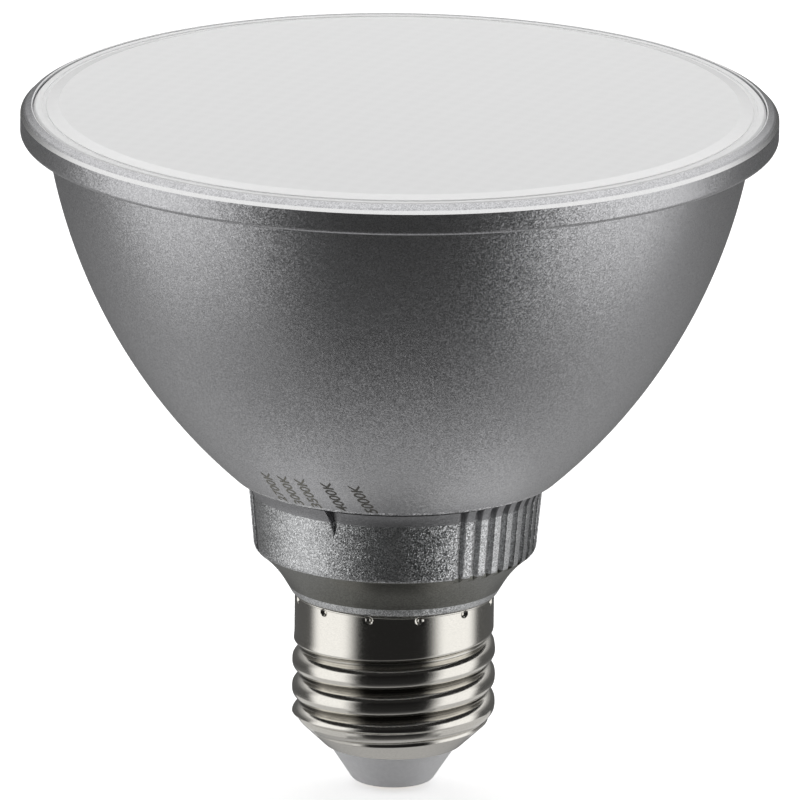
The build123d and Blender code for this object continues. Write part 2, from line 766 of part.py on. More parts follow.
# Front lens: a shallow dome with a stepped edge, and a skirt that centres it in the bowl's mouth
ring_inner_r = lens_r - lens_edge_bevel - lens_ring_w
shoulder_outer_r = ring_inner_r - lens_groove_w
dome_r = shoulder_outer_r - lens_shoulder_w
dome_foot_z = lens_edge_z + lens_shoulder_rise
dome_top_z = dome_foot_z + lens_dome_rise
skirt_r = bowl_r(lens_seat_z - lens_skirt_h, bowl_wall) - lens_skirt_gap
skirt_inner_r = skirt_r - lens_skirt_wall
with BuildPart() as front_lens:
    with BuildSketch(Plane.XZ):
        with BuildLine():
            TangentArc((0, dome_top_z), (dome_r, dome_foot_z), tangent=(1, 0))
            Polyline(
                (dome_r, dome_foot_z),
                (shoulder_outer_r, lens_edge_z),
                (shoulder_outer_r, lens_edge_z - lens_groove_depth),
                (ring_inner_r, lens_edge_z - lens_groove_depth),
                (ring_inner_r, lens_edge_z),
                (lens_r - lens_edge_bevel, lens_edge_z),
                (lens_r, lens_edge_z - lens_edge_bevel),
                (lens_r, lens_seat_z + seat_gap),
                (skirt_r, lens_seat_z + seat_gap),
                (skirt_r, lens_seat_z - lens_skirt_h),
                (skirt_inner_r, lens_seat_z - lens_skirt_h),
                (skirt_inner_r, dome_foot_z - lens_wall),
            )
            TangentArc((0, dome_top_z - lens_wall), (skirt_inner_r, dome_foot_z - lens_wall), tangent=(1, 0))
            Line((0, dome_top_z - lens_wall), (0, dome_top_z))
        make_face()
    revolve(axis=Axis.Z)
front_lens.part.label = "front_lens"
export_step(front_lens.part, "parts/front_lens.step")
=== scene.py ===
"""Looks of a short-neck reflector lamp with a turning colour selector.

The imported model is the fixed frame. The moulded and rolled shells that show are built again here as finer
meshes with rounded edges, each in the place of its solid, and the pieces inside keep the shape of theirs.
Sizes are in millimetres, heights run up from the centre contact's face, and Blender's objects are in metres.
"""

import logging
import math
from collections.abc import Callable, Sequence
from dataclasses import dataclass
from enum import Enum

import bmesh
import bpy
import numpy as np
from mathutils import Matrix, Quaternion, Vector


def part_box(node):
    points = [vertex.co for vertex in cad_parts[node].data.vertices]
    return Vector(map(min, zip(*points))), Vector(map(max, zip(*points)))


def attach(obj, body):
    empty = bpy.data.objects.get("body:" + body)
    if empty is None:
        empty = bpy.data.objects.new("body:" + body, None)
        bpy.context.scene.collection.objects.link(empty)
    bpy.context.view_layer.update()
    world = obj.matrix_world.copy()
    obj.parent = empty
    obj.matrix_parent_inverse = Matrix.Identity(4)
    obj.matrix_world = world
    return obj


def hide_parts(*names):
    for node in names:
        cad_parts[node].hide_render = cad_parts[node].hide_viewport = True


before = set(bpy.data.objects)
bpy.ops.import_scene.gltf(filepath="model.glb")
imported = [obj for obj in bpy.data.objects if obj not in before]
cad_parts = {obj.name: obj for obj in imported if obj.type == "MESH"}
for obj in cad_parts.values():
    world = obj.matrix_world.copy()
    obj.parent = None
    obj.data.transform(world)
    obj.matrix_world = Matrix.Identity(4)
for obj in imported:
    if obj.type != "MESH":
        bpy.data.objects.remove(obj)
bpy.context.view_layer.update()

MM = 0.001
LOG = logging.getLogger("reflector_lamp")
# Attribute that says how deep in the thread a corner of the shell lies, from 0 to 1, which drives the painted shade
# in the valleys
VALLEY_SHADE = "valley"
# Corners closer than the first become one, and faces thinner than the second go, in metres
MERGE_M = 1e-7
THIN_M = 1e-8
# Largest share of a profile's run that the rounding of one end may take
ROUND_SHARE = 0.45
# Values between which a noise pattern mostly stays
NOISE_SPAN = (0.3, 0.7)

Point = tuple[float, float]
Wall = tuple[tuple[float, str], ...]
Socket = bpy.types.NodeSocket
Tree = bpy.types.NodeTree


class Body(str, Enum):
    """The two bodies that pieces ride on."""

    LAMP = "lamp"
    SELECTOR = "selector"


@dataclass(frozen=True)
class SolidBox:
    """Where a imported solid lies, in millimetres.

    Attributes:
        low_z: Height of its lowest point.
        high_z: Height of its highest point.
        r: Its reach from the lamp's axis along +Y, where no pointer or grip is cut.
    """

    low_z: float
    high_z: float
    r: float


def solid_box(node: str) -> SolidBox:
    """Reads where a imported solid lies.

    Args:
        node: Name of the solid.

    Returns:
        Its heights and radius.
    """
    low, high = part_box(node)
    return SolidBox(low[2] / MM, high[2] / MM, high[1] / MM)


SOLIDS: dict[str, SolidBox] = {node: solid_box(node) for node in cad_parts}


def linear(hex_colour: str) -> tuple[float, float, float, float]:
    """Turns an sRGB hex colour into linear RGBA.

    Args:
        hex_colour: Colour as "#RRGGBB".

    Returns:
        Red, green, blue and an alpha of 1, each from 0 to 1.
    """
    channels = []
    for start in (1, 3, 5):
        value = int(hex_colour[start : start + 2], 16) / 255
        channels.append(value / 12.92 if value <= 0.04045 else ((value + 0.055) / 1.055) ** 2.4)
    return (channels[0], channels[1], channels[2], 1.0)


def add_node(
    tree: Tree,
    kind: str,
    settings: dict[str | int, object] | None = None,
    links: dict[str | int, Socket] | None = None,
) -> bpy.types.Node:
    """Adds one node with its settings and incoming links.

    Args:
        tree: Node tree that gets the node.
        kind: Blender's name of the node type, without "ShaderNode".
        settings: Values by name. A lower-case name is a property of the node, any other an input socket.
        links: Output sockets of other nodes, by the name or number of the input that they feed.

    Returns:
        The new node.
    """
    node = tree.nodes.new(f"ShaderNode{kind}")
    for key, value in (settings or {}).items():
        if isinstance(key, str) and key.islower():
            setattr(node, key, value)
        else:
            node.inputs[key].default_value = value
    for key, socket in (links or {}).items():
        tree.links.new(socket, node.inputs[key])
    return node


def add_ramp(tree: Tree, factor: Socket, places: Sequence[float], colours: Sequence[str]) -> Socket:
    """Adds a colour ramp between hex colours.

    Args:
        tree: Node tree that gets the ramp.
        factor: Output that drives the ramp.
        places: Places from 0 to 1, in order.
        colours: Hex colour at each place.

    Returns:
        The ramp's colour output.
    """
    ramp = add_node(tree, "ValToRGB", links={"Fac": factor})
    elements = ramp.color_ramp.elements
    while len(elements) < len(places):
        elements.new(0.5)
    for element, place, colour in zip(elements, places, colours):
        element.position = place
        element.color = linear(colour)
    return ramp.outputs["Color"]


def add_noise(tree: Tree, place: Socket, width_mm: float, detail: float, roughness: float = 0.5) -> Socket:
    """Adds a noise pattern.

    Args:
        tree: Node tree that gets the pattern.
        place: Coordinates in metres.
        width_mm: Width of its coarsest grain.
        detail: Number of finer grains on top.
        roughness: Strength of each finer grain against the one before.

    Returns:
        The pattern's value, from 0 to 1.
    """
    settings = {"Scale": 1 / (width_mm * MM), "Detail": detail, "Roughness": roughness}
    return add_node(tree, "TexNoise", settings, {"Vector": place}).outputs["Fac"]


def add_range(tree: Tree, value: Socket, source: Point, target: Point = (0.0, 1.0), kind: str = "LINEAR") -> Socket:
    """Adds a node that maps one range of values to another.

    Args:
        tree: Node tree that gets the node.
        value: Output to map.
        source: Its lowest and highest value.
        target: What these become.
        kind: Blender's name of the interpolation.

    Returns:
        The mapped value.
    """
    settings = {
        "interpolation_type": kind,
        "From Min": source[0],
        "From Max": source[1],
        "To Min": target[0],
        "To Max": target[1],
    }
    return add_node(tree, "MapRange", settings, {"Value": value}).outputs["Result"]


def add_bump(tree: Tree, height: Socket, depth_mm: float) -> Socket:
    """Adds a bump of a given depth, and gives its normal."""
    return add_node(tree, "Bump", {"Distance": depth_mm * MM}, {"Height": height}).outputs["Normal"]


def blank_material(name: str) -> tuple[bpy.types.Material, Tree]:
    """Starts a material with an empty node tree.

    Args:
        name: Name of the real material and how its surface was made.

    Returns:
        The material and its tree.
    """
    material = bpy.data.materials.new(name)
    material.use_nodes = True
    material.node_tree.nodes.clear()
    return material, material.node_tree


def add_place(tree: Tree) -> Socket:
    """Adds the coordinates in which a finish's patterns are laid out, in metres."""
    return add_node(tree, "TexCoord").outputs["Object"]


def end_surface(tree: Tree, shader: Socket) -> None:
    """Links a shader to a new output node."""
    add_node(tree, "OutputMaterial", links={"Surface": shader})


def end_principled(tree: Tree, settings: dict[str | int, object], links: dict[str | int, Socket]) -> None:
    """Ends a material with a principled shader.

    Args:
        tree: Node tree of the material.
        settings: The shader's constant inputs.
        links: The outputs that feed its other inputs.
    """
    end_surface(tree, add_node(tree, "BsdfPrincipled", settings, links).outputs["BSDF"])


@dataclass(frozen=True)
class Finish:
    """A plain moulded, drawn or plated surface: a colour that drifts a little, and a fine grain.

    Attributes:
        name: Name of the real material and how its surface was made.
        light: Hex colour of the paler patches.
        dark: Hex colour of the darker patches.
        roughness: Lowest and highest roughness.
        grain_mm: Width of the grain.
        bump_mm: Depth of the grain.
        metallic: 1 for bare metal, 0 for the rest.
        ior: Index of refraction, left at its default on metals.
    """

    name: str
    light: str
    dark: str
    roughness: tuple[float, float]
    grain_mm: float
    bump_mm: float
    metallic: float = 0.0
    ior: float = 1.5

    def material(self) -> bpy.types.Material:
        """Builds the finish's material."""
        material, tree = blank_material(self.name)
        place = add_place(tree)
        grain = add_noise(tree, place, self.grain_mm, detail=4.0, roughness=0.6)
        links = {
            "Base Color": add_ramp(tree, grain, NOISE_SPAN, (self.dark, self.light)),
            "Roughness": add_range(tree, grain, (0.0, 1.0), self.roughness),
            "Normal": add_bump(tree, grain, self.bump_mm),
        }
        end_principled(tree, {"Metallic": self.metallic, "IOR": self.ior}, links)
        return material


@dataclass(frozen=True)
class FlakePaint:
    """Silver paint with metal flakes, sprayed on a moulding.

    Each flake is a small mirror with its own tilt, so the surface sparkles where a light has an edge and looks
    like even satin where the light is even.

    Attributes:
        name: Name of the paint.
        flakes: Hex colours from the darkest flake to the brightest.
        flake_mm: Width of a flake, drawn coarser than the real one so that it shows.
        tilt: How far a flake's normal leans, as a share of its length.
        roughness: Roughness of each flake under its lacquer.
        sand_mm: Width of the moulding's sandy texture under the paint.
        sand_depth_mm: Depth of that texture.
        metallic: Share of metal in the paint.
        places: Where the flakes' colours lie among the random values of the cells.
    """

    name: str
    flakes: tuple[str, str, str]
    flake_mm: float
    tilt: float
    roughness: float
    sand_mm: float
    sand_depth_mm: float
    metallic: float = 0.9
    places: tuple[float, float, float] = (0.2, 0.5, 0.8)

    def material(self) -> bpy.types.Material:
        """Builds the paint's material."""
        material, tree = blank_material(self.name)
        place = add_place(tree)
        voronoi = add_node(tree, "TexVoronoi", {"Scale": 1 / (self.flake_mm * MM)}, {"Vector": place})
        cells = voronoi.outputs["Color"]
        bump = add_bump(tree, add_noise(tree, place, self.sand_mm, detail=2.0), self.sand_depth_mm)
        lean = add_node(tree, "VectorMath", {"operation": "SUBTRACT", 1: (0.5, 0.5, 0.5)}, {0: cells})
        tilt = add_node(tree, "VectorMath", {"operation": "SCALE", "Scale": self.tilt}, {0: lean.outputs["Vector"]})
        tilted = add_node(tree, "VectorMath", {"operation": "ADD"}, {0: bump, 1: tilt.outputs["Vector"]})
        normal = add_node(tree, "VectorMath", {"operation": "NORMALIZE"}, {0: tilted.outputs["Vector"]})
        links = {
            "Base Color": add_ramp(tree, cells, self.places, self.flakes),
            "Normal": normal.outputs["Vector"],
        }
        end_principled(tree, {"Metallic": self.metallic, "Roughness": self.roughness}, links)
        return material


@dataclass(frozen=True)
class RolledNickel:
    """Nickel-plated brass sheet with a rolled thread: a warm, slightly grained mirror, with painted shade darkening
    its colour in the thread's valleys.

    Attributes:
        name: Name of the real material and how its surface was made.
        colours: Hex colours of its darker and paler marks.
        valley: Hex colour of the painted shade at the bottom of the thread.
        roughness: Lowest and highest roughness.
        mark_h_mm: Height of the rolling marks, drawn coarser than the real ones so that they show.
        mark_l_mm: Length of the rolling marks.
        mark_depth_mm: Depth of the rolling marks.
    """

    name: str = "nickel_plated_brass_rolled"
    colours: tuple[str, str] = ("#D6D3CC", "#E0DDD6")
    valley: str = "#625E56"
    roughness: tuple[float, float] = (0.12, 0.2)
    mark_h_mm: float = 0.14
    mark_l_mm: float = 0.3
    mark_depth_mm: float = 0.0012

    def material(self) -> bpy.types.Material:
        """Builds the nickel's material."""
        material, tree = blank_material(self.name)
        place = add_place(tree)
        squash = (1 / self.mark_l_mm / MM, 1 / self.mark_l_mm / MM, 1 / self.mark_h_mm / MM)
        stretched = add_node(tree, "Mapping", {"Scale": squash}, {"Vector": place}).outputs["Vector"]
        marks = add_node(tree, "TexNoise", {"Scale": 1.0, "Detail": 3.0}, {"Vector": stretched}).outputs["Fac"]
        colour = add_ramp(tree, marks, NOISE_SPAN, self.colours)
        # Deep in the thread the colour turns to the valley colour: painted shade
        deep = add_node(tree, "Attribute", {"attribute_name": VALLEY_SHADE}).outputs["Fac"]
        valley_shaded = add_node(tree, "MixRGB", {2: linear(self.valley)}, {0: deep, 1: colour})
        links = {
            "Base Color": valley_shaded.outputs["Color"],
            "Roughness": add_range(tree, marks, NOISE_SPAN, self.roughness),
            "Normal": add_bump(tree, marks, self.mark_depth_mm),
        }
        end_principled(tree, {"Metallic": 1.0}, links)
        return material


@dataclass(frozen=True)
class FrostedLens:
    """Frosted polycarbonate: milky white and silky, with a field of small lenses just showing through.

    Attributes:
        name: Name of the real material and how its surface was made.
        colours: Hex colours at a small lens's middle and at its edge.
        lenslet_mm: Width of a small lens.
        lenslet_stray: How far the small lenses leave their grid, from 0 to 1.
        lenslet_span: Distances from a small lens's middle that get the two colours, as shares of its width.
        frost_mm: Width of the frost's grain.
        frost_depth_mm: Depth of the frost's grain.
        roughness: Roughness of the frost.
        ior: Index of refraction.
        shine: Strength of the surface's reflection, where 0.5 is that of the index alone.
        bleed: Share of the light that spreads under the surface.
        bleed_mm: How far it spreads.
    """

    name: str = "polycarbonate_frosted"
    colours: tuple[str, str] = ("#E9E9E9", "#ECECEC")
    lenslet_mm: float = 2.4
    lenslet_stray: float = 0.15
    lenslet_span: tuple[float, float] = (0.1, 0.7)
    frost_mm: float = 0.25
    frost_depth_mm: float = 0.004
    roughness: float = 0.42
    ior: float = 1.58
    shine: float = 0.25
    bleed: float = 0.25
    bleed_mm: float = 1.2

    def material(self) -> bpy.types.Material:
        """Builds the lens's material."""
        material, tree = blank_material(self.name)
        place = add_place(tree)
        grid = {"voronoi_dimensions": "2D", "Scale": 1 / (self.lenslet_mm * MM), "Randomness": self.lenslet_stray}
        lenslets = add_node(tree, "TexVoronoi", grid, {"Vector": place}).outputs["Distance"]
        frost = add_noise(tree, place, self.frost_mm, detail=2.0)
        settings = {
            "Roughness": self.roughness,
            "IOR": self.ior,
            "Specular IOR Level": self.shine,
            "Subsurface Weight": self.bleed,
            "Subsurface Radius": (1.0, 1.0, 1.0),
            "Subsurface Scale": self.bleed_mm * MM,
        }
        links = {
            "Base Color": add_ramp(tree, lenslets, self.lenslet_span, self.colours),
            "Normal": add_bump(tree, frost, self.frost_depth_mm),
        }
        end_principled(tree, settings, links)
        return material


AnyFinish = Finish | FlakePaint | RolledNickel | FrostedLens

# Sprayed silver on the bowl: fine flakes over a smooth moulding, an even satin
BOWL_PAINT = FlakePaint(
    "silver_flake_paint_on_bowl", ("#AAAAAC", "#BCBCBE", "#CECED0"), 0.13, 0.18, 0.32, 0.3, 0.004
)
# The same spray on the collar's sandblasted wall: each grain of the texture catches the light by itself
SANDY_PAINT = FlakePaint(
    "silver_flake_paint_on_sandblasted_collar", ("#9E9FA0", "#C2C3C4", "#E6E7E8"), 0.14, 0.34, 0.28, 0.15, 0.045
)
# And on its polished cove: smooth and slightly warm, and darker, which is painted shade on the downward-facing cove
COVE_PAINT_SHADED = FlakePaint(
    "silver_flake_paint_on_polished_cove_painted_shade", ("#666661", "#6E6E69", "#767671"), 0.16, 0.06, 0.34, 0.3, 0.004
)
# And on its flare: duller, with a soft shine, and darker, which is painted shade from the bowl above it
FLARE_PAINT_SHADED = FlakePaint(
    "silver_flake_paint_on_flare_painted_shade", ("#9C9C9E", "#A6A6A8", "#B0B0B2"), 0.14, 0.1, 0.5, 0.3, 0.004
)
# The flare's top edge under the bowl: dark, a painted shadow of the gap between bowl and collar
GAP_SHADOW_EDGE = Finish("painted_shadow_dark_under_bowl", "#3C3C3C", "#303030", (0.5, 0.6), 0.4, 0.004)
# And on the bowl's lower edge: coarse, paler flakes that sparkle, a painted highlight of the light that the edge
# catches
EDGE_PAINT_HIGHLIGHT = FlakePaint(
    "silver_flake_paint_on_bowl_edge_painted_highlight", ("#B4B4B6", "#E8E8EA", "#FFFFFF"), 0.22, 0.4, 0.22, 0.2, 0.02
)
# The rim's bevel, cut bright after spraying: a thin mirror line
BRIGHT_EDGE = Finish("aluminium_diamond_cut", "#D8D8D8", "#D0D0D0", (0.2, 0.28), 0.3, 0.001, metallic=1.0)
# The rim's inner wall round the lens's seat: soft white, a painted highlight that makes the rim's far side look lit
RIM_WALL_HIGHLIGHT = Finish("white_painted_highlight_on_rim_wall", "#F4F4F4", "#ECECEC", (0.4, 0.5), 0.5, 0.004)
# The shell's plating: a warm mirror with rolling marks that soften what it shows, and painted shade in the thread's
# valleys
NICKEL = RolledNickel()
# The lens's frosted field: an even milky white
LENS = FrostedLens()
# The lens's shoulder: smoother and whiter than the frosted field, a painted highlight of the light gathered in the
# lens's thick edge
LENS_SHOULDER_HIGHLIGHT = FrostedLens("polycarbonate_shoulder_painted_highlight", ("#F8F8F8", "#FAFAFA"), roughness=0.2)
# Moulded thermoset: pale grey, satin, without grain that shows
INSULATOR = Finish("thermoset_moulded_grey", "#E8E8EA", "#E0E0E2", (0.35, 0.45), 0.6, 0.004)
# Bare brass, turned: warm metal with a soft shine
BRASS = Finish("brass_turned", "#D8BC84", "#C4A468", (0.28, 0.4), 0.4, 0.003, metallic=1.0)
# Pad-printing ink: a flat warm grey film with a slightly uneven cover
INK = Finish("pad_printing_ink", "#5E5C56", "#4E4C48", (0.5, 0.65), 0.12, 0.002)
# The same ink where the plate pressed less: thinner, so that the silver shows through
THIN_INK = Finish("pad_printing_ink_thin", "#8A8880", "#74726A", (0.45, 0.6), 0.12, 0.002, metallic=0.3)
# What is inside: each has its usual colour, with a little drift and grain
INNER_FINISHES: dict[str, Finish] = {
    # Moulded white plastic: matt
    "neck_housing": Finish("polybutylene_moulded_white", "#E2E2DE", "#D6D6D2", (0.45, 0.6), 0.5, 0.01),
    # Stamped bronze: a warm, soft mirror
    "contact_wiper": Finish("phosphor_bronze_stamped", "#C98F5E", "#B57A4B", (0.25, 0.4), 0.3, 0.002, 1.0),
    # Green lacquer over glass cloth: dark, with a soft shine
    "selector_board": Finish("glass_epoxy_green_mask", "#2F6B3E", "#235432", (0.3, 0.45), 0.8, 0.01),
    "driver_board": Finish("glass_epoxy_green_mask_driver", "#2F6B3E", "#235432", (0.3, 0.45), 0.8, 0.01),
    # Black sleeve, yellow tape and black epoxy: dull, with a low shine
    "storage_capacitor": Finish("shrink_sleeve_black", "#2A2A2E", "#1E1E22", (0.25, 0.4), 0.7, 0.008),
    "transformer": Finish("polyester_tape_yellow", "#D8B23A", "#C29A28", (0.25, 0.4), 0.6, 0.01),
    "bridge_rectifier": Finish("epoxy_moulded_black", "#2C2C2C", "#202020", (0.5, 0.65), 0.3, 0.01),
    # Coloured insulation: smooth and slightly waxy
    "live_wire": Finish("vinyl_extruded_red", "#B03028", "#9C2620", (0.3, 0.45), 0.4, 0.004),
    "neutral_wire": Finish("vinyl_extruded_white", "#E2E2DE", "#D4D4D0", (0.3, 0.45), 0.4, 0.004),
    "lamp_leads": Finish("vinyl_extruded_red_leads", "#B03028", "#9C2620", (0.3, 0.45), 0.4, 0.004),
    # Stamped aluminium: a pale grey, blurred mirror
    "heat_spreader": Finish("aluminium_stamped", "#D2D4D6", "#BEC0C2", (0.3, 0.5), 0.5, 0.006, 1.0),
    # White lacquer: bright and even
    "light_board": Finish("white_solder_mask", "#F0F0EC", "#E6E6E2", (0.3, 0.45), 0.6, 0.004),
    # Phosphor in silicone: a flat yellow
    "light_chips": Finish("phosphor_silicone_yellow", "#E8C850", "#D8B440", (0.35, 0.5), 0.2, 0.01),
    # Zinc plate: cool grey, slightly uneven
    "board_screws": Finish("zinc_plated_steel", "#C4C6C8", "#A8AAAC", (0.25, 0.45), 0.3, 0.004, 1.0),
    "neck_screws": Finish("zinc_plated_steel_neck", "#C4C6C8", "#A8AAAC", (0.25, 0.45), 0.3, 0.004, 1.0),
}


@dataclass(frozen=True)
class Corner:
    """One corner of a profile, with the radius that rounds it off, in millimetres."""

    r: float
    z: float
    round: float = 0.0


def rounded(corners: Sequence[Corner], steps: int = 5) -> list[Point]:
    """Turns the corners of a closed profile into points, with an arc at each rounded corner.

    Args:
        corners: Corners in order round the profile.
        steps: Number of runs in each arc.

    Returns:
        Points in order, each as radius and height.
    """
    points: list[Point] = []
    for number, corner in enumerate(corners):
        here = np.array((corner.r, corner.z))
        if corner.round <= 0:
            points.append((corner.r, corner.z))
            continue
        before = corners[number - 1]
        after = corners[(number + 1) % len(corners)]
        to_before = np.array((before.r, before.z)) - here
        to_after = np.array((after.r, after.z)) - here
        room = ROUND_SHARE * min(np.linalg.norm(to_before), np.linalg.norm(to_after))
        to_before = to_before / np.linalg.norm(to_before)
        to_after = to_after / np.linalg.norm(to_after)
        half = math.acos(float(np.clip(to_before @ to_after, -1, 1))) / 2
        reach = min(corner.round / math.tan(half), room)
        radius = reach * math.tan(half)
        middle = to_before + to_after
        centre = here + middle / np.linalg.norm(middle) * radius / math.sin(half)
        start = here + to_before * reach - centre
        end = here + to_after * reach - centre
        sweep = math.pi - 2 * half
        for step in range(steps + 1):
            share = step / steps
            spoke = (math.sin((1 - share) * sweep) * start + math.sin(share * sweep) * end) / math.sin(sweep)
            points.append((float(centre[0] + spoke[0]), float(centre[1] + spoke[1])))
    return points


def divided(points: Sequence[Point], step: float) -> list[Point]:
    """Divides the long runs of an open line of points.

    Args:
        points: Points in order.
        step: Longest run that is left as it is, in millimetres.

    Returns:
        The points with more between them.
    """
    fine: list[Point] = [points[0]]
    for (r0, z0), (r1, z1) in zip(points, points[1:]):
        runs = max(1, math.ceil(math.hypot(r1 - r0, z1 - z0) / step))
        for run in range(1, runs + 1):
            share = run / runs
            fine.append((r0 + (r1 - r0) * share, z0 + (z1 - z0) * share))
    return fine


def turned(profile: Sequence[Point], angles: np.ndarray) -> np.ndarray:
    """Turns a profile about the lamp's axis.

    Args:
        profile: Points as radius and height.
        angles: Polar angle of each copy, in radians.

    Returns:
        Array of angles by points by X, Y and Z.
    """
    flat = np.asarray(profile, float)
    radii = np.broadcast_to(flat[:, 0], (len(angles), len(flat)))
    heights = np.broadcast_to(flat[:, 1], (len(angles), len(flat)))
    return placed(radii, heights, angles)


def placed(radii: np.ndarray, heights: np.ndarray, angles: np.ndarray) -> np.ndarray:
    """Places radii and heights round the lamp's axis.

    Args:
        radii: Radius of each point, angles by points.
        heights: Height of each point, angles by points.
        angles: Polar angle of each row of points, in radians.

    Returns:
        Array of angles by points by X, Y and Z.
    """
    return np.stack(
        (radii * np.cos(angles)[:, None], radii * np.sin(angles)[:, None], heights), axis=-1
    )


def even_angles(count: int) -> np.ndarray:
    """Gives equal polar angles round a full turn, in radians."""
    return np.arange(count) * math.tau / count


def skin(name: str, rings: Sequence[np.ndarray], sharp_deg: float = 40.0) -> bpy.types.Object:
    """Makes one object of closed meshes, each a ring of closed profiles.

    Args:
        name: Name of the object.
        rings: For each mesh, an array of angles by points by X, Y and Z, in millimetres.
        sharp_deg: Edges that bend by more than this stay sharp.

    Returns:
        The object, linked to the scene.
    """
    form = bmesh.new()
    for ring in rings:
        turns, rows = ring.shape[:2]
        corners = [form.verts.new(point) for point in (ring.reshape(-1, 3) * MM).tolist()]
        for turn in range(turns):
            here = turn * rows
            there = (turn + 1) % turns * rows
            for row in range(rows):
                above = (row + 1) % rows
                form.faces.new(
                    (corners[here + row], corners[there + row], corners[there + above], corners[here + above])
                )
    bmesh.ops.remove_doubles(form, verts=form.verts, dist=MERGE_M)
    bmesh.ops.dissolve_degenerate(form, edges=form.edges, dist=THIN_M)
    bmesh.ops.recalc_face_normals(form, faces=form.faces)
    mesh = bpy.data.meshes.new(name)
    form.to_mesh(mesh)
    form.free()
    return shown(name, mesh, sharp_deg)


def shown(name: str, mesh: bpy.types.Mesh, sharp_deg: float) -> bpy.types.Object:
    """Links a mesh to the scene with smooth faces and sharp corners.

    Args:
        name: Name of the object.
        mesh: Its mesh.
        sharp_deg: Edges that bend by more than this stay sharp.

    Returns:
        The object.
    """
    mesh.shade_smooth()
    mesh.set_sharp_from_angle(angle=math.radians(sharp_deg))
    piece = linked(name, mesh)
    weights = piece.modifiers.new("flat_faces_stay_flat", "WEIGHTED_NORMAL")
    weights.keep_sharp = True
    return piece


def linked(name: str, data: bpy.types.ID) -> bpy.types.Object:
    """Makes an object of a mesh, a lamp or a camera, and links it to the scene."""
    item = bpy.data.objects.new(name, data)
    bpy.context.scene.collection.objects.link(item)
    return item


def dress(
    piece: bpy.types.Object, finishes: Sequence[AnyFinish], pick: Callable[[float, float], int] | None = None
) -> None:
    """Gives a piece its finishes, in place of any material that it had.

    Args:
        piece: The piece.
        finishes: Its finishes.
        pick: Gives the number of a face's finish from its middle's radius and height, in millimetres.
    """
    piece.data.materials.clear()
    for finish in finishes:
        piece.data.materials.append(finish.material())
    if pick is None:
        return
    for face in piece.data.polygons:
        face.material_index = pick(math.hypot(face.center.x, face.center.y) / MM, face.center.z / MM)


def stand_in(piece: bpy.types.Object, body: Body, node: str) -> None:
    """Puts a piece in the place of a solid.

    Args:
        piece: The finer piece.
        body: Body that it rides on.
        node: Solid that it stands for.
    """
    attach(piece, body.value)
    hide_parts(node)
    low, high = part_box(node)
    own = np.array([corner.co for corner in piece.data.vertices])
    apart = max(np.abs(own.min(0) - low).max(), np.abs(own.max(0) - high).max()) / MM
    LOG.info("%s stands for its solid, with %d faces and boxes %.3f mm apart", node, len(piece.data.polygons), apart)


def soft_step(value: np.ndarray, edge: float, width: float) -> np.ndarray:
    """Falls smoothly from 1 to 0 as a value passes an edge.

    Args:
        value: Distances, in millimetres.
        edge: Distance at which the result is a half.
        width: Width of the fall.

    Returns:
        Shares from 0 to 1.
    """
    share = np.clip((edge + width / 2 - value) / width, 0, 1)
    return share * share * (3 - 2 * share)


def soft_least(first: np.ndarray, second: np.ndarray, width: np.ndarray) -> np.ndarray:
    """Takes the lesser of two surfaces, with a rounded corner where they cross.

    Args:
        first: Radii of one surface.
        second: Radii of the other.
        width: How far apart the two may be and still blend, at each point.

    Returns:
        Radii of the joined surface.
    """
    share = np.clip(0.5 + (second - first) / (2 * width), 0, 1)
    return second + (first - second) * share - width * share * (1 - share)


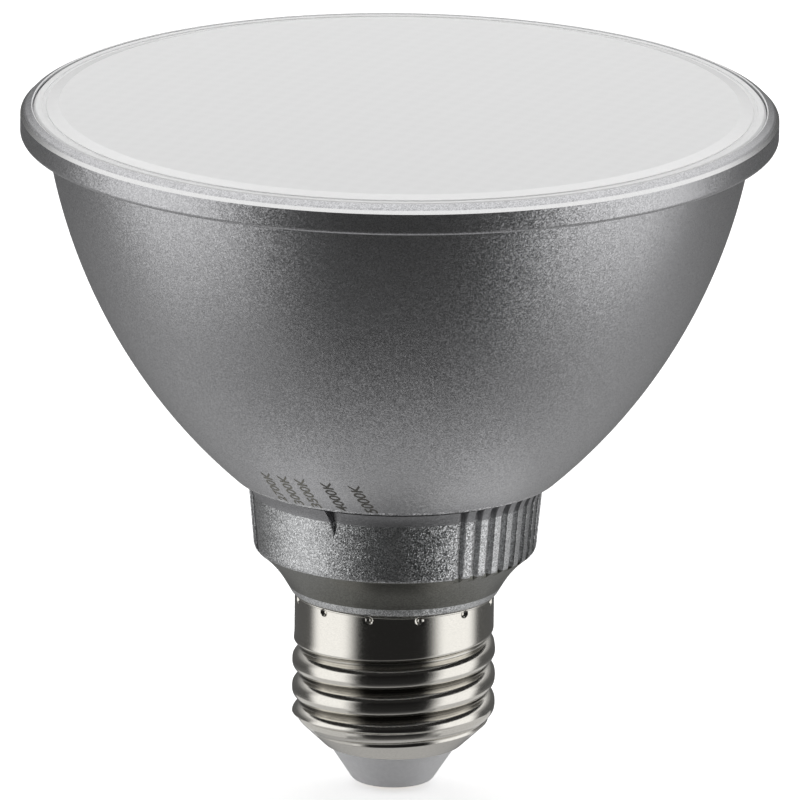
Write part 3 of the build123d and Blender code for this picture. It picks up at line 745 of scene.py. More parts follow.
@dataclass
class BowlHousing:
    """The flake-painted bowl: one moulding with its rim, floor, spreader ledge and screw bosses."""

    foot_z: float = SOLIDS["bowl_housing"].low_z
    foot_r: float = 20.95
    neck_hole_r: float = 16.45
    side_h: float = 44.2
    side_curve_r: float = 74.0
    wall: float = 1.8
    floor_h: float = 2.6
    rim_r: float = SOLIDS["bowl_housing"].r
    rim_overhang: float = 3.35
    band_h: float = 2.8
    bevel: float = 0.65
    bright_w: float = 0.42
    rim_top_w: float = 0.9
    rim_top_rise: float = 0.45
    seat_depth: float = 2.3
    spreader_rise: float = 20.7
    ledge_w: float = 1.6
    ledge_h: float = 1.5
    boss_r: float = 2.4
    boss_h: float = 6.0
    boss_inset: float = 1.3
    boss_turns: int = 32
    boss_angles: tuple[float, ...] = (90.0, 210.0, 330.0)
    screw_hole_r: float = 0.98
    screw_hole_depth: float = 3.2
    foot_round: float = 0.2
    edge_h: float = 0.4
    band_round: float = 0.6
    edge_round: float = 0.12
    side_runs: int = 64
    turns: int = 320

    def side_r(self, z: float, inset: float = 0.0) -> float:
        """Gives the radius of the bowl's side.

        Args:
            z: Height.
            inset: Depth below the outer face.

        Returns:
            The radius at that height.
        """
        mouth_r = self.rim_r - self.rim_overhang
        chord = math.hypot(mouth_r - self.foot_r, self.side_h)
        reach = math.sqrt(self.side_curve_r**2 - (chord / 2) ** 2)
        centre_r = (mouth_r + self.foot_r) / 2 - reach * self.side_h / chord
        centre_z = self.foot_z + self.side_h / 2 + reach * (mouth_r - self.foot_r) / chord
        return centre_r + math.sqrt((self.side_curve_r - inset) ** 2 - (z - centre_z) ** 2)

    def side(self, low: float, high: float, inset: float = 0.0) -> list[Corner]:
        """Lists points up the bowl's side.

        Args:
            low: First height.
            high: Last height.
            inset: Depth below the outer face.

        Returns:
            Corners without rounding, from low to high.
        """
        runs = max(2, round(self.side_runs * abs(high - low) / self.side_h))
        return [Corner(self.side_r(z, inset), z) for z in np.linspace(low, high, runs + 1)]

    def profile(self) -> list[Point]:
        """Draws the bowl's closed section."""
        floor_z = self.foot_z + self.floor_h
        band_z = self.foot_z + self.side_h
        top_z = band_z + self.band_h
        rim_in_r = self.rim_r - self.bevel - self.rim_top_w
        rim_in_z = top_z + self.bevel + self.rim_top_rise
        seat_z = rim_in_z - self.seat_depth
        spreader_z = self.foot_z + self.spreader_rise
        ledge_r = self.side_r(spreader_z, self.wall) - self.ledge_w
        outer = self.side(self.foot_z, band_z)
        upper = self.side(seat_z, spreader_z, self.wall)
        lower = self.side(spreader_z - self.ledge_h, floor_z, self.wall)
        return rounded(
            [
                Corner(self.neck_hole_r, floor_z),
                Corner(self.neck_hole_r, self.foot_z),
                Corner(self.foot_r, self.foot_z, self.foot_round),
                Corner(self.side_r(self.foot_z + self.edge_h), self.foot_z + self.edge_h),
                *outer[1:],
                Corner(self.rim_r, band_z, self.band_round),
                Corner(self.rim_r, top_z, self.edge_round),
                Corner(self.rim_r - self.bright_w, top_z + self.bright_w),
                Corner(self.rim_r - self.bevel, top_z + self.bevel, self.edge_round),
                Corner(rim_in_r, rim_in_z, self.edge_round),
                Corner(rim_in_r, seat_z),
                *upper,
                Corner(ledge_r, spreader_z),
                Corner(ledge_r, spreader_z - self.ledge_h),
                *lower,
            ]
        )

    def bosses(self) -> list[np.ndarray]:
        """Makes the three bosses under the spreader, each with a blind screw hole."""
        top_z = self.foot_z + self.spreader_rise
        foot_z = top_z - self.boss_h
        circle_r = self.side_r(foot_z, self.wall) - self.boss_inset
        section = [
            (0.0, foot_z),
            (self.boss_r, foot_z),
            (self.boss_r, top_z),
            (self.screw_hole_r, top_z),
            (self.screw_hole_r, top_z - self.screw_hole_depth),
            (0.0, top_z - self.screw_hole_depth),
        ]
        boss = turned(section, even_angles(self.boss_turns))
        shifts = [(math.cos(math.radians(a)), math.sin(math.radians(a)), 0) for a in self.boss_angles]
        return [boss + circle_r * np.array(shift) for shift in shifts]

    def finish_at(self, r: float, z: float) -> int:
        """Picks the finish at a place: the paint, the bright cut, the painted highlight on the lower edge or the
        painted white highlight on the rim's inner wall.

        Args:
            r: Distance from the axis.
            z: Height.

        Returns:
            Number of the finish, from 0 to 3 in that order.
        """
        bevel_z = self.foot_z + self.side_h + self.band_h
        seat_r = self.rim_r - self.bevel - self.rim_top_w + self.edge_round
        bright = bevel_z < z < bevel_z + self.bevel and r > self.rim_r - self.bright_w
        # The foot's lower edge gets paler flakes, a painted highlight
        edge_highlight = z < self.foot_z + self.edge_h and r > self.foot_r - self.foot_round
        # The rim's inner wall gets white, a painted highlight
        rim_wall_lit = z > bevel_z and r < seat_r
        return int(bright) + 2 * int(edge_highlight) + 3 * int(rim_wall_lit)

    def build(self) -> None:
        """Builds and dresses the bowl."""
        piece = skin("bowl", [turned(self.profile(), even_angles(self.turns)), *self.bosses()])
        dress(piece, (BOWL_PAINT, BRIGHT_EDGE, EDGE_PAINT_HIGHLIGHT, RIM_WALL_HIGHLIGHT), self.finish_at)
        stand_in(piece, Body.LAMP, "bowl_housing")


@dataclass
class FrontLens:
    """The frosted front lens: a shallow dome with a stepped edge, and a skirt inside the bowl's mouth."""

    seat_fill: float = 0.17
    r: float = SOLIDS["front_lens"].r + seat_fill
    seat_z: float = 87.32
    edge_z: float = 89.5
    edge_bevel: float = 0.4
    ring_w: float = 0.7
    groove_w: float = 0.55
    groove_depth: float = 0.15
    shoulder_w: float = 1.65
    shoulder_rise: float = 0.35
    dome_rise: float = 1.0
    wall: float = 1.6
    skirt_r: float = 42.548
    skirt_wall: float = 1.2
    skirt_low_z: float = SOLIDS["front_lens"].low_z
    round: float = 0.12
    shoulder_round: float = 0.6
    dome_runs: int = 24
    turns: int = 320

    def dome(self, foot_r: float, foot_z: float, rise: float) -> list[Corner]:
        """Lists points over a dome, from its top on the axis to its foot.

        Args:
            foot_r: Radius of its foot.
            foot_z: Height of its foot.
            rise: Height of its top over its foot.

        Returns:
            Corners without rounding.
        """
        curve_r = (foot_r**2 + rise**2) / (2 * rise)
        sink = foot_z + rise - curve_r
        return [Corner(r, sink + math.sqrt(curve_r**2 - r**2)) for r in np.linspace(0, foot_r, self.dome_runs + 1)]

    def shoulder_r(self) -> float:
        """Gives the radius of the shoulder's foot, inside the edge ring and its groove."""
        return self.r - self.edge_bevel - self.ring_w - self.groove_w

    def dome_r(self) -> float:
        """Gives the radius of the dome's foot, on top of the shoulder."""
        return self.shoulder_r() - self.shoulder_w

    def profile(self) -> list[Point]:
        """Draws the lens's closed section."""
        ring_in_r = self.r - self.edge_bevel - self.ring_w
        shoulder_r = self.shoulder_r()
        dome_r = self.dome_r()
        dome_z = self.edge_z + self.shoulder_rise
        groove_z = self.edge_z - self.groove_depth
        skirt_in_r = self.skirt_r - self.skirt_wall
        outer = self.dome(dome_r, dome_z, self.dome_rise)
        inner = self.dome(skirt_in_r, dome_z - self.wall, self.dome_rise)
        return rounded(
            [
                *outer[:-1],
                Corner(dome_r, dome_z, self.shoulder_round),
                Corner(shoulder_r, self.edge_z, self.round),
                Corner(shoulder_r, groove_z, self.round),
                Corner(ring_in_r, groove_z, self.round),
                Corner(ring_in_r, self.edge_z, self.round),
                Corner(self.r - self.edge_bevel, self.edge_z, self.round),
                Corner(self.r, self.edge_z - self.edge_bevel, self.round),
                Corner(self.r, self.seat_z),
                Corner(self.skirt_r, self.seat_z),
                Corner(self.skirt_r, self.skirt_low_z),
                Corner(skirt_in_r, self.skirt_low_z),
                *reversed(inner),
            ]
        )

    def finish_at(self, r: float, z: float) -> int:
        """Picks the finish at a radius and height: 1 on the shoulder, which has a painted highlight, 0 elsewhere."""
        return int(self.dome_r() < r < self.shoulder_r() and z > self.edge_z)

    def build(self) -> None:
        """Builds and dresses the lens."""
        piece = skin("lens", [turned(self.profile(), even_angles(self.turns))])
        dress(piece, (LENS, LENS_SHOULDER_HIGHLIGHT), self.finish_at)
        stand_in(piece, Body.LAMP, "front_lens")


@dataclass
class SelectorCollar:
    """The turning collar: a lip, a cove, a wall with two grip zones, and a flare with an engraved pointer."""

    lip_z: float = SOLIDS["selector_collar"].low_z
    lip_h: float = 1.1
    lip_r: float = 13.2
    lip_draft: float = 0.65
    lip_bore_r: float = 12.49
    cone_h: float = 4.8
    cone_run: float = 4.2
    cone_sag: float = 0.35
    wall_h: float = 7.6
    wall_draft: float = 0.7
    flare_h: float = 1.78
    flare_out: float = 0.9
    flare_sag: float = 0.12
    shadow_band_h: float = 0.14
    wall: float = 1.6
    grooves: int = 12
    groove_pitch_deg: float = 7.0
    groove_w: float = 0.95
    groove_depth: float = 0.7
    grip_middles_deg: tuple[float, float] = (0.0, 180.0)
    pointer_deg: float = -90.0
    pointer_h: float = 3.6
    pointer_w: float = 2.1
    pointer_depth: float = 0.7
    key_w: float = 2.4
    key_h: float = 3.0
    key_top_z: float = 36.4
    key_inner_r: float = 12.6
    edge_soft: float = 0.26
    knee_round: float = 0.9
    lip_round: float = 0.2
    lip_foot_round: float = 0.4
    flare_round: float = 0.5
    row_step: float = 0.3
    column_deg: float = 1.5
    edge_columns: int = 9
    edge_spread: float = 0.6
    pointer_columns: int = 41
    pointer_spread: float = 1.2

    def arc(self, start: Corner, end: Corner, sag: float, runs: int = 8) -> list[Corner]:
        """Lists points along a shallow hollow between two corners, without the two.

        Args:
            start: Lower corner.
            end: Upper corner.
            sag: Depth of the hollow, towards the axis and upwards.
            runs: Number of runs.

        Returns:
            Corners without rounding.
        """
        run_r = end.r - start.r
        run_z = end.z - start.z
        length = math.hypot(run_r, run_z)
        corners = []
        for step in range(1, runs):
            share = step / runs
            dip = 4 * sag * share * (1 - share) / length
            corners.append(Corner(start.r + run_r * share - dip * run_z, start.z + run_z * share + dip * run_r))
        return corners

    def outside(self) -> list[Point]:
        """Draws the collar's outer line, from the lip's lower edge to the flare's top."""
        lip_top = Corner(self.lip_r + self.lip_draft, self.lip_z + self.lip_h, self.lip_round)
        knee = Corner(lip_top.r + self.cone_run, lip_top.z + self.cone_h, self.knee_round)
        wall_top = Corner(knee.r + self.wall_draft, knee.z + self.wall_h, self.flare_round)
        flare = Corner(wall_top.r + self.flare_out, wall_top.z + self.flare_h, self.lip_round)
        line = rounded(
            [
                Corner(self.lip_bore_r, self.lip_z),
                Corner(self.lip_r, self.lip_z, self.lip_foot_round),
                lip_top,
                *self.arc(lip_top, knee, self.cone_sag),
                knee,
                wall_top,
                *self.arc(wall_top, flare, self.flare_sag, 4),
                flare,
                Corner(self.bore_r(), flare.z),
            ]
        )
        return divided(line[1:-1], self.row_step)

    def knee_r(self) -> float:
        """Gives the radius of the knee between the cove and the wall."""
        return self.lip_r + self.lip_draft + self.cone_run

    def bore_r(self) -> float:
        """Gives the radius of the bore that turns on the neck."""
        return self.knee_r() - self.wall

    def inside(self) -> list[Point]:
        """Draws the collar's inner line, from the bore's top to the lip's bore."""
        slope = self.cone_run / self.cone_h
        lip_top_z = self.lip_z + self.lip_h
        shift = self.wall * math.hypot(1, slope) - self.lip_r - self.lip_draft
        top_z = lip_top_z + self.cone_h + self.wall_h + self.flare_h
        return [
            (self.bore_r(), top_z),
            (self.bore_r(), lip_top_z + (self.bore_r() + shift) / slope),
            (self.lip_bore_r, lip_top_z + (self.lip_bore_r + shift) / slope),
            (self.lip_bore_r, self.lip_z),
        ]

    def groove_centres(self) -> list[float]:
        """Lists the polar angles of the grip grooves, in degrees."""
        places = (np.arange(self.grooves) - (self.grooves - 1) / 2) * self.groove_pitch_deg
        return [middle + place for middle in self.grip_middles_deg for place in places.tolist()]

    def angles(self) -> np.ndarray:
        """Lists the columns' polar angles, close together at groove edges and round the pointer."""
        edge = math.degrees(self.groove_w / 2 / self.knee_r())
        soft = math.degrees(self.edge_soft / self.knee_r())
        across = soft * np.linspace(-self.edge_spread, self.edge_spread, self.edge_columns)
        half = self.pointer_spread * math.degrees(self.pointer_w / 2 / self.knee_r())
        places = [np.arange(0, 360, self.column_deg)]
        places += [centre + side * (edge + across) for centre in self.groove_centres() for side in (-1, 1)]
        places += [self.pointer_deg + np.linspace(-half, half, self.pointer_columns)]
        return np.radians(np.unique(np.round(np.mod(np.concatenate(places), 360), decimals=3)))

    def cut_grips(self, radii: np.ndarray, heights: np.ndarray, angles: np.ndarray) -> None:
        """Cuts the grip grooves into the wall.

        Args:
            radii: Radius of each point, angles by points, which is changed.
            heights: Height of each point.
            angles: Polar angle of each column, in radians.
        """
        knee_z = self.lip_z + self.lip_h + self.cone_h
        floor = self.knee_r() - self.groove_depth + self.wall_draft / self.wall_h * (heights - knee_z)
        for centre in self.groove_centres():
            off = angles - math.radians(centre)
            aside = np.abs(np.sin(off))[:, None] * radii
            cut = soft_step(aside, self.groove_w / 2, self.edge_soft) * (np.cos(off)[:, None] > 0)
            radii -= cut * np.maximum(radii - floor, 0)

    def cut_pointer(self, radii: np.ndarray, heights: np.ndarray, angles: np.ndarray) -> None:
        """Cuts the pointer's wedge into the flare, down to a flat floor.

        Args:
            radii: Radius of each point, angles by points, which is changed.
            heights: Height of each point.
            angles: Polar angle of each column, in radians.
        """
        top_z = self.lip_z + self.lip_h + self.cone_h + self.wall_h + self.flare_h
        off = angles - math.radians(self.pointer_deg)
        facing = np.cos(off)[:, None]
        half = np.clip((heights - top_z + self.pointer_h) / self.pointer_h, 0, 1) * self.pointer_w / 2
        # Columns that face away have no floor, and 0.1 only keeps the division finite there
        floor = (self.knee_r() + self.wall_draft - self.pointer_depth) / np.maximum(facing, 0.1)
        aside = np.abs(np.sin(off))[:, None] * radii - half
        cut = soft_step(aside, -self.edge_soft / 4, self.edge_soft / 2) * (facing > 0) * (half > 0)
        radii -= cut * np.maximum(radii - floor, 0)

    def finish_at(self, r: float, z: float) -> int:
        """Picks the finish at a place: the sandy wall and lip, the cove and the flare with their painted shade, or
        the painted shadow on the flare's top edge.

        Args:
            r: Distance from the axis, which makes no difference.
            z: Height.

        Returns:
            Number of the finish, from 0 to 3 in that order.
        """
        lip_top_z = self.lip_z + self.lip_h
        knee_z = lip_top_z + self.cone_h
        # Above the wall, the flare gets a darker copy of the paint: painted shade from the bowl
        wall_top_z = knee_z + self.wall_h
        # The flare's top rows get the painted shadow of the gap under the bowl
        shadow_band_z = wall_top_z + self.flare_h - self.shadow_band_h
        # The cove gets a darker copy of the paint: painted shade
        return int(lip_top_z < z < knee_z) + 2 * int(z > wall_top_z) + int(z > shadow_band_z)

    def build(self) -> None:
        """Builds and dresses the collar."""
        angles = self.angles()
        outer = np.array(self.outside())
        heights = np.broadcast_to(outer[:, 1], (len(angles), len(outer)))
        radii = np.broadcast_to(outer[:, 0], heights.shape).copy()
        self.cut_grips(radii, heights, angles)
        self.cut_pointer(radii, heights, angles)
        ring = np.concatenate((placed(radii, heights, angles), turned(self.inside(), angles)), axis=1)
        piece = skin("collar", [ring, self.key()], sharp_deg=50.0)
        dress(piece, (SANDY_PAINT, COVE_PAINT_SHADED, FLARE_PAINT_SHADED, GAP_SHADOW_EDGE), self.finish_at)
        stand_in(piece, Body.SELECTOR, "selector_collar")

    def key(self) -> np.ndarray:
        """Makes the drive key on the collar's back, which reaches through the neck's window."""
        far = self.bore_r() + self.wall / 2
        low = self.key_top_z - self.key_h
        post = turned([(0, low), (1, low), (1, self.key_top_z), (0, self.key_top_z)], even_angles(4) + math.pi / 4)
        stretch = (self.key_w / math.sqrt(2), (far - self.key_inner_r) / math.sqrt(2), 1)
        return post * stretch + (0, (far + self.key_inner_r) / 2, 0)


@dataclass
class ScrewShell:
    """The rolled nickel shell: a knuckle thread, a plain band with punched crimps, and a cone to the insulator."""

    lip_z: float = SOLIDS["screw_shell"].low_z
    top_z: float = SOLIDS["screw_shell"].high_z
    lip_r: float = 8.4
    lip_w: float = 0.55
    cone_slope: float = 1.05
    r: float = 13.0
    sheet: float = 0.3
    band_inset: float = 0.25
    band_h: float = 5.7
    taper_h: float = 2.2
    bead_r: float = 0.15
    pitch: float = 3.629
    thread_depth: float = 1.15
    crest_round: float = 1.6
    crest_break: float = 0.03
    shade_from: float = 0.78
    turn_gap: float = 0.1
    foot_rise: float = 3.26
    full_turns: float = 3.12
    runout_turns: float = 0.34
    runout_rise: float = 1.5
    leadin_turns: float = 0.5
    leadin_slope: float = 0.8
    side_slope: float = 1.5
    blend: float = 0.1
    cone_blend: float = 0.35
    crimps: int = 12
    crimp_deg: float = 9.5
    crimp_r: float = 0.56
    crimp_depth: float = 0.42
    crimp_below_top: float = 0.6
    crimp_columns: int = 9
    crimp_spread: float = 1.3
    edge_round: float = 0.14
    bead_runs: int = 8
    inner_stride: int = 3
    turns: int = 180
    row_step: float = 0.1

    def angles(self) -> np.ndarray:
        """Lists the columns' polar angles, close together at the crimps."""
        reach = math.degrees(self.crimp_spread * self.crimp_r / self.r)
        columns = np.linspace(-reach, reach, self.crimp_columns)
        places = [np.degrees(even_angles(self.turns))]
        places += [self.crimp_deg + crimp * 360 / self.crimps + columns for crimp in range(self.crimps)]
        return np.radians(np.unique(np.round(np.mod(np.concatenate(places), 360), decimals=2)))

    def outline(self) -> list[Point]:
        """Draws the shell's outer line without its thread, from its lip to the bead on its top edge."""
        cone_r = self.lip_r + self.lip_w
        cone_z = self.lip_z + (self.r - cone_r) / self.cone_slope
        band_r = self.r - self.band_inset
        band_z = self.top_z - self.band_h
        bead_z = self.top_z - self.bead_r
        line = rounded(
            [
                Corner(self.lip_r, self.lip_z),
                Corner(cone_r, self.lip_z, self.edge_round),
                Corner(self.r, cone_z),
                Corner(self.r, band_z - self.taper_h, 2 * self.taper_h),
                Corner(band_r, band_z, 2 * self.taper_h),
                Corner(band_r, bead_z - self.bead_r),
                Corner(band_r - self.sheet, bead_z - self.bead_r),
            ]
        )
        bend = np.linspace(-math.pi / 2, math.pi / 2, self.bead_runs + 1)[1:]
        bead = [(band_r + self.bead_r * math.cos(turn), bead_z + self.bead_r * math.sin(turn)) for turn in bend]
        return divided(line[1:-1], self.row_step) + bead

    def thread(self, angles: np.ndarray, heights: np.ndarray) -> np.ndarray:
        """Works out how far the thread's grooves leave the shell.

        Args:
            angles: Polar angle of each column, in radians.
            heights: Height of each point, angles by points.

        Returns:
            Radius of the groove's surface at each point, or a large value outside the grooves.
        """
        half = (self.pitch - self.turn_gap) / 2
        deep = self.thread_depth + self.crest_break
        arcs = (half**2 + deep**2) / (2 * deep)
        valley_r = arcs - self.crest_round
        meet = half * (1 - self.crest_round / arcs)
        surface = np.full(heights.shape, 2 * self.r)
        first = -math.ceil(self.leadin_turns) - 1
        last = math.ceil(self.full_turns + self.runout_turns) + 1
        for number in range(first, last):
            turn = number + angles[:, None] / math.tau
            near = np.abs(heights - self.lip_z - self.foot_rise - turn * self.pitch)
            crest = np.sqrt(np.maximum(self.crest_round**2 - np.maximum(half - near, 0) ** 2, 0)) - self.crest_round
            valley = valley_r - deep - np.sqrt(np.maximum(valley_r**2 - near**2, 0))
            beyond = np.maximum(near - half, 0) * self.side_slope
            path = self.r + self.crest_break + np.minimum(turn, 0) * self.pitch * self.leadin_slope
            path = path + np.maximum(turn - self.full_turns, 0) / self.runout_turns * self.runout_rise
            # The lead-in's first half fades out of the cone, so that the groove has no blunt end
            path = path - np.minimum(turn + self.leadin_turns / 2, 0) / self.leadin_turns * self.runout_rise
            groove = path + np.where(near > meet, crest, valley) + beyond
            here = (turn >= -self.leadin_turns) & (turn <= self.full_turns + self.runout_turns)
            surface = np.where(here, np.minimum(surface, groove), surface)
        return surface

    def dents(self, angles: np.ndarray, heights: np.ndarray) -> np.ndarray:
        """Works out how deep the punched crimps are.

        Args:
            angles: Polar angle of each column, in radians.
            heights: Height of each point, angles by points.

        Returns:
            Depth of the dent at each point.
        """
        spacing = math.tau / self.crimps
        off = np.mod(angles - math.radians(self.crimp_deg) + spacing / 2, spacing) - spacing / 2
        aside = off[:, None] * (self.r - self.band_inset)
        up = heights - self.top_z + self.crimp_below_top
        share = np.clip(1 - (aside**2 + up**2) / self.crimp_r**2, 0, 1)
        return self.crimp_depth * share

    def mark_valley_shade(self, piece: bpy.types.Object, outer: np.ndarray) -> None:
        """Stores how deep in the thread each corner lies, for the nickel's painted shade in the valleys.

        Args:
            piece: The shell.
            outer: Its outer line without the thread, as radii and heights.
        """
        places = np.array([corner.co for corner in piece.data.vertices]) / MM
        deep = np.interp(places[:, 2], outer[:, 1], outer[:, 0]) - np.hypot(places[:, 0], places[:, 1])
        share = np.clip((deep / self.thread_depth - self.shade_from) / (1 - self.shade_from), 0, 1)
        piece.data.attributes.new(VALLEY_SHADE, "FLOAT", "POINT").data.foreach_set("value", share)

    def build(self) -> None:
        """Builds and dresses the shell."""
        angles = self.angles()
        outer = np.array(self.outline())
        heights = np.broadcast_to(outer[:, 1], (len(angles), len(outer)))
        plain = np.broadcast_to(outer[:, 0], heights.shape)
        on_cone = np.clip(self.r - plain, 0, 1) * (heights < self.lip_z + self.foot_rise + self.pitch)
        blend = self.blend + (self.cone_blend - self.blend) * on_cone
        radii = soft_least(plain, self.thread(angles, heights), blend) - self.dents(angles, heights)
        kept = np.arange(len(outer) - 1, 0, -self.inner_stride)
        inner_z = np.clip(heights[:, kept], self.lip_z + self.sheet, self.top_z)
        inner_r = np.maximum(radii[:, kept] - self.sheet, self.lip_r)
        lip = turned([(self.lip_r, self.lip_z + self.sheet), (self.lip_r, self.lip_z)], angles)
        ring = np.concatenate((placed(radii, heights, angles), placed(inner_r, inner_z, angles), lip), axis=1)
        piece = skin("shell", [ring], sharp_deg=60.0)
        dress(piece, (NICKEL,))
        self.mark_valley_shade(piece, outer)
        stand_in(piece, Body.LAMP, "screw_shell")


@dataclass
class BaseEnd:
    """The pale insulator cone under the shell and the brass contact riveted through it."""

    contact_drop: float = 0.6
    contact_r: float = 3.6
    contact_flat_r: float = 2.4
    contact_edge_h: float = 0.25
    rivet_r: float = 1.25
    rivet_head_r: float = 2.1
    rivet_head_h: float = 0.6
    tip_r: float = 5.1
    tip_round: float = 1.0
    lip_r: float = 8.38
    lip_z: float = 5.6
    plug_r: float = 8.81
    plug_z: float = 5.92
    plug_top_r: float = SOLIDS["base_insulator"].r
    plug_top_z: float = SOLIDS["base_insulator"].high_z
    seat_gap: float = 0.02
    round: float = 0.25
    turns: int = 160

    def insulator(self) -> list[Corner]:
        """Lists the corners of the insulator's section."""
        bore_r = self.rivet_r + self.seat_gap
        return [
            Corner(bore_r, self.contact_drop),
            Corner(self.tip_r, self.contact_drop, self.tip_round),
            Corner(self.lip_r, self.lip_z),
            Corner(self.lip_r, self.plug_z),
            Corner(self.plug_r, self.plug_z),
            Corner(self.plug_top_r, self.plug_top_z),
            Corner(bore_r, self.plug_top_z),
        ]

    def contact(self) -> list[Corner]:
        """Lists the corners of the centre contact's section."""
        head_z = self.plug_top_z + self.rivet_head_h
        return [
            Corner(0.0, 0.0),
            Corner(self.contact_flat_r, 0.0, self.round),
            Corner(self.contact_r, self.contact_drop - self.contact_edge_h, self.round),
            Corner(self.contact_r, self.contact_drop),
            Corner(self.rivet_r, self.contact_drop),
            Corner(self.rivet_r, self.plug_top_z),
            Corner(self.rivet_head_r, self.plug_top_z),
            Corner(self.rivet_head_r, head_z, self.round),
            Corner(0.0, head_z),
        ]

    def build(self) -> None:
        """Builds and dresses the insulator and the contact."""
        for name, section, finish, node in (
            ("insulator", self.insulator(), INSULATOR, "base_insulator"),
            ("contact", self.contact(), BRASS, "centre_contact"),
        ):
            piece = skin(name, [turned(rounded(section), even_angles(self.turns))])
            dress(piece, (finish,))
            stand_in(piece, Body.LAMP, node)


@dataclass
class PrintedScale:
    """The five colour steps printed on the bowl's foot.

    They are pad-printed from one flat plate, so the lines of figures stay parallel where the bowl curves away.
    """

    bowl: BowlHousing
    steps: tuple[str, ...] = ("2700K", "3000K", "3500K", "4000K", "5000K")
    plate_deg: float = -4.8
    line_places: tuple[float, ...] = (-4.5, -1.9, 0.7, 4.3, 7.9)
    thin_lines: int = 3
    figure_h: float = 1.45
    line_l: float = 7.2
    start_above_foot: float = 0.3
    film: float = 0.02
    sunk: float = 0.01
    thickness: float = 0.05
    swell: float = 0.014
    curve_runs: int = 4
    levels: int = 60

    def line_mesh(self, text: str) -> bpy.types.Mesh:
        """Makes flat figures of unit height and length.

        Args:
            text: One colour step.

        Returns:
            A mesh from 0 to 1 along X, -0.5 to 0.5 across and 0 to 1 through the film.
        """
        curve = bpy.data.curves.new(text, "FONT")
        curve.body = text
        curve.extrude = self.thickness
        curve.offset = self.swell
        curve.resolution_u = self.curve_runs
        letters = bpy.data.objects.new(text, curve)
        mesh = bpy.data.meshes.new_from_object(letters)
        bpy.data.objects.remove(letters)
        bpy.data.curves.remove(curve)
        points = np.array([corner.co for corner in mesh.vertices])
        low, high = points.min(0), points.max(0)
        points = (points - low) / (high - low) - (0, 0.5, 0)
        mesh.vertices.foreach_set("co", points.ravel())
        return mesh

    def build(self) -> None:
        """Builds and dresses the printed figures."""
        turn = math.radians(self.plate_deg)
        outwards = np.array((math.sin(turn), -math.cos(turn), 0))
        aside = np.array((math.cos(turn), math.sin(turn), 0))
        low_z = self.bowl.foot_z + self.bowl.foot_round
        levels = np.linspace(low_z, low_z + self.line_l, self.levels)
        radii = np.array([self.bowl.side_r(z) for z in levels])
        form = bmesh.new()
        for number, (text, line_place) in enumerate(zip(self.steps, self.line_places)):
            mesh = self.line_mesh(text)
            mesh.polygons.foreach_set("material_index", [int(number < self.thin_lines)] * len(mesh.polygons))
            flat = np.array([corner.co for corner in mesh.vertices])
            across = line_place - flat[:, 1] * self.figure_h
            reach = np.sqrt(radii**2 - across.mean() ** 2)
            run = np.concatenate(((0,), np.cumsum(np.hypot(np.diff(reach), np.diff(levels)))))
            height = np.interp(self.start_above_foot + flat[:, 0] * self.line_l, run, levels)
            radius = np.interp(height, levels, radii)
            slope = np.interp(height, levels, np.gradient(radii, levels))
            lift = (flat[:, 2] * (self.film + self.sunk) - self.sunk) / np.hypot(1, slope)
            deep = np.sqrt((radius + lift) ** 2 - across**2)
            points = deep[:, None] * outwards + across[:, None] * aside
            points[:, 2] = height - lift * slope
            mesh.vertices.foreach_set("co", (points * MM).ravel())
            form.from_mesh(mesh)
            bpy.data.meshes.remove(mesh)
        bmesh.ops.remove_doubles(form, verts=form.verts, dist=THIN_M)
        bmesh.ops.recalc_face_normals(form, faces=form.faces)
        mesh = bpy.data.meshes.new("scale_figures")
        form.to_mesh(mesh)
        form.free()
        piece = linked("scale_figures", mesh)
        inks = [face.material_index for face in mesh.polygons]
        dress(piece, (INK, THIN_INK))
        mesh.polygons.foreach_set("material_index", inks)
        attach(piece, Body.LAMP.value)
        LOG.info("scale_figures printed on the bowl, with %d faces", len(mesh.polygons))


@dataclass
class InnerPieces:
    """What is inside the lamp: the solids keep their shape and get their finishes."""

    def dress(self) -> None:
        """Dresses each inner solid."""
        for node, finish in INNER_FINISHES.items():
            dress(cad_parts[node], (finish,))
            LOG.info("%s dressed as %s", node, finish.name)


def way_to(azimuth_deg: float, elevation_deg: float) -> Vector:
    """Gives a direction from the lamp.

    Args:
        azimuth_deg: Angle round the lamp from the pointer's side, towards +X.
        elevation_deg: Angle above the horizon.

    Returns:
        The direction, of length 1.
    """
    turn = math.radians(azimuth_deg)
    rise = math.radians(elevation_deg)
    return Vector((math.sin(turn) * math.cos(rise), -math.cos(turn) * math.cos(rise), math.sin(rise)))


@dataclass
class PhotoCamera:
    """A long lens at the photograph's viewing angle.

    Attributes:
        azimuth_deg: Angle round the lamp from the pointer's side, towards +X.
        elevation_deg: Angle above the horizon.
        roll_deg: How far the lamp leans to the right in the picture.
        distance: Distance from the point aimed at.
        px_per_mm: Scale at that point.
        picture_px: Width and height of the picture.
        aim_z: Height of the point aimed at.
        aim_right: How far that point lies to the right of the lamp's axis.
        sight: How far the camera sees.
    """

    azimuth_deg: float = 24.5
    elevation_deg: float = 15.8
    roll_deg: float = 0.65
    distance: float = 2800.0
    px_per_mm: float = 7.84
    picture_px: float = 800.0
    aim_z: float = 50.82
    aim_right: float = 0.43
    sight: float = 50_000.0

    def build(self) -> None:
        """Makes the camera and gives it to the scene."""
        turn = math.radians(self.azimuth_deg)
        aim = Vector((self.aim_right * math.cos(turn), self.aim_right * math.sin(turn), self.aim_z)) * MM
        backwards = way_to(self.azimuth_deg, self.elevation_deg)
        data = bpy.data.cameras.new("camera")
        data.lens = data.sensor_width * self.distance * self.px_per_mm / self.picture_px
        data.clip_end = self.sight * MM
        camera = linked("camera", data)
        camera.rotation_mode = "QUATERNION"
        camera.location = aim + backwards * self.distance * MM
        level = (-backwards).to_track_quat("-Z", "Y")
        camera.rotation_quaternion = level @ Quaternion((0, 0, 1), math.radians(self.roll_deg))
        bpy.context.scene.camera = camera


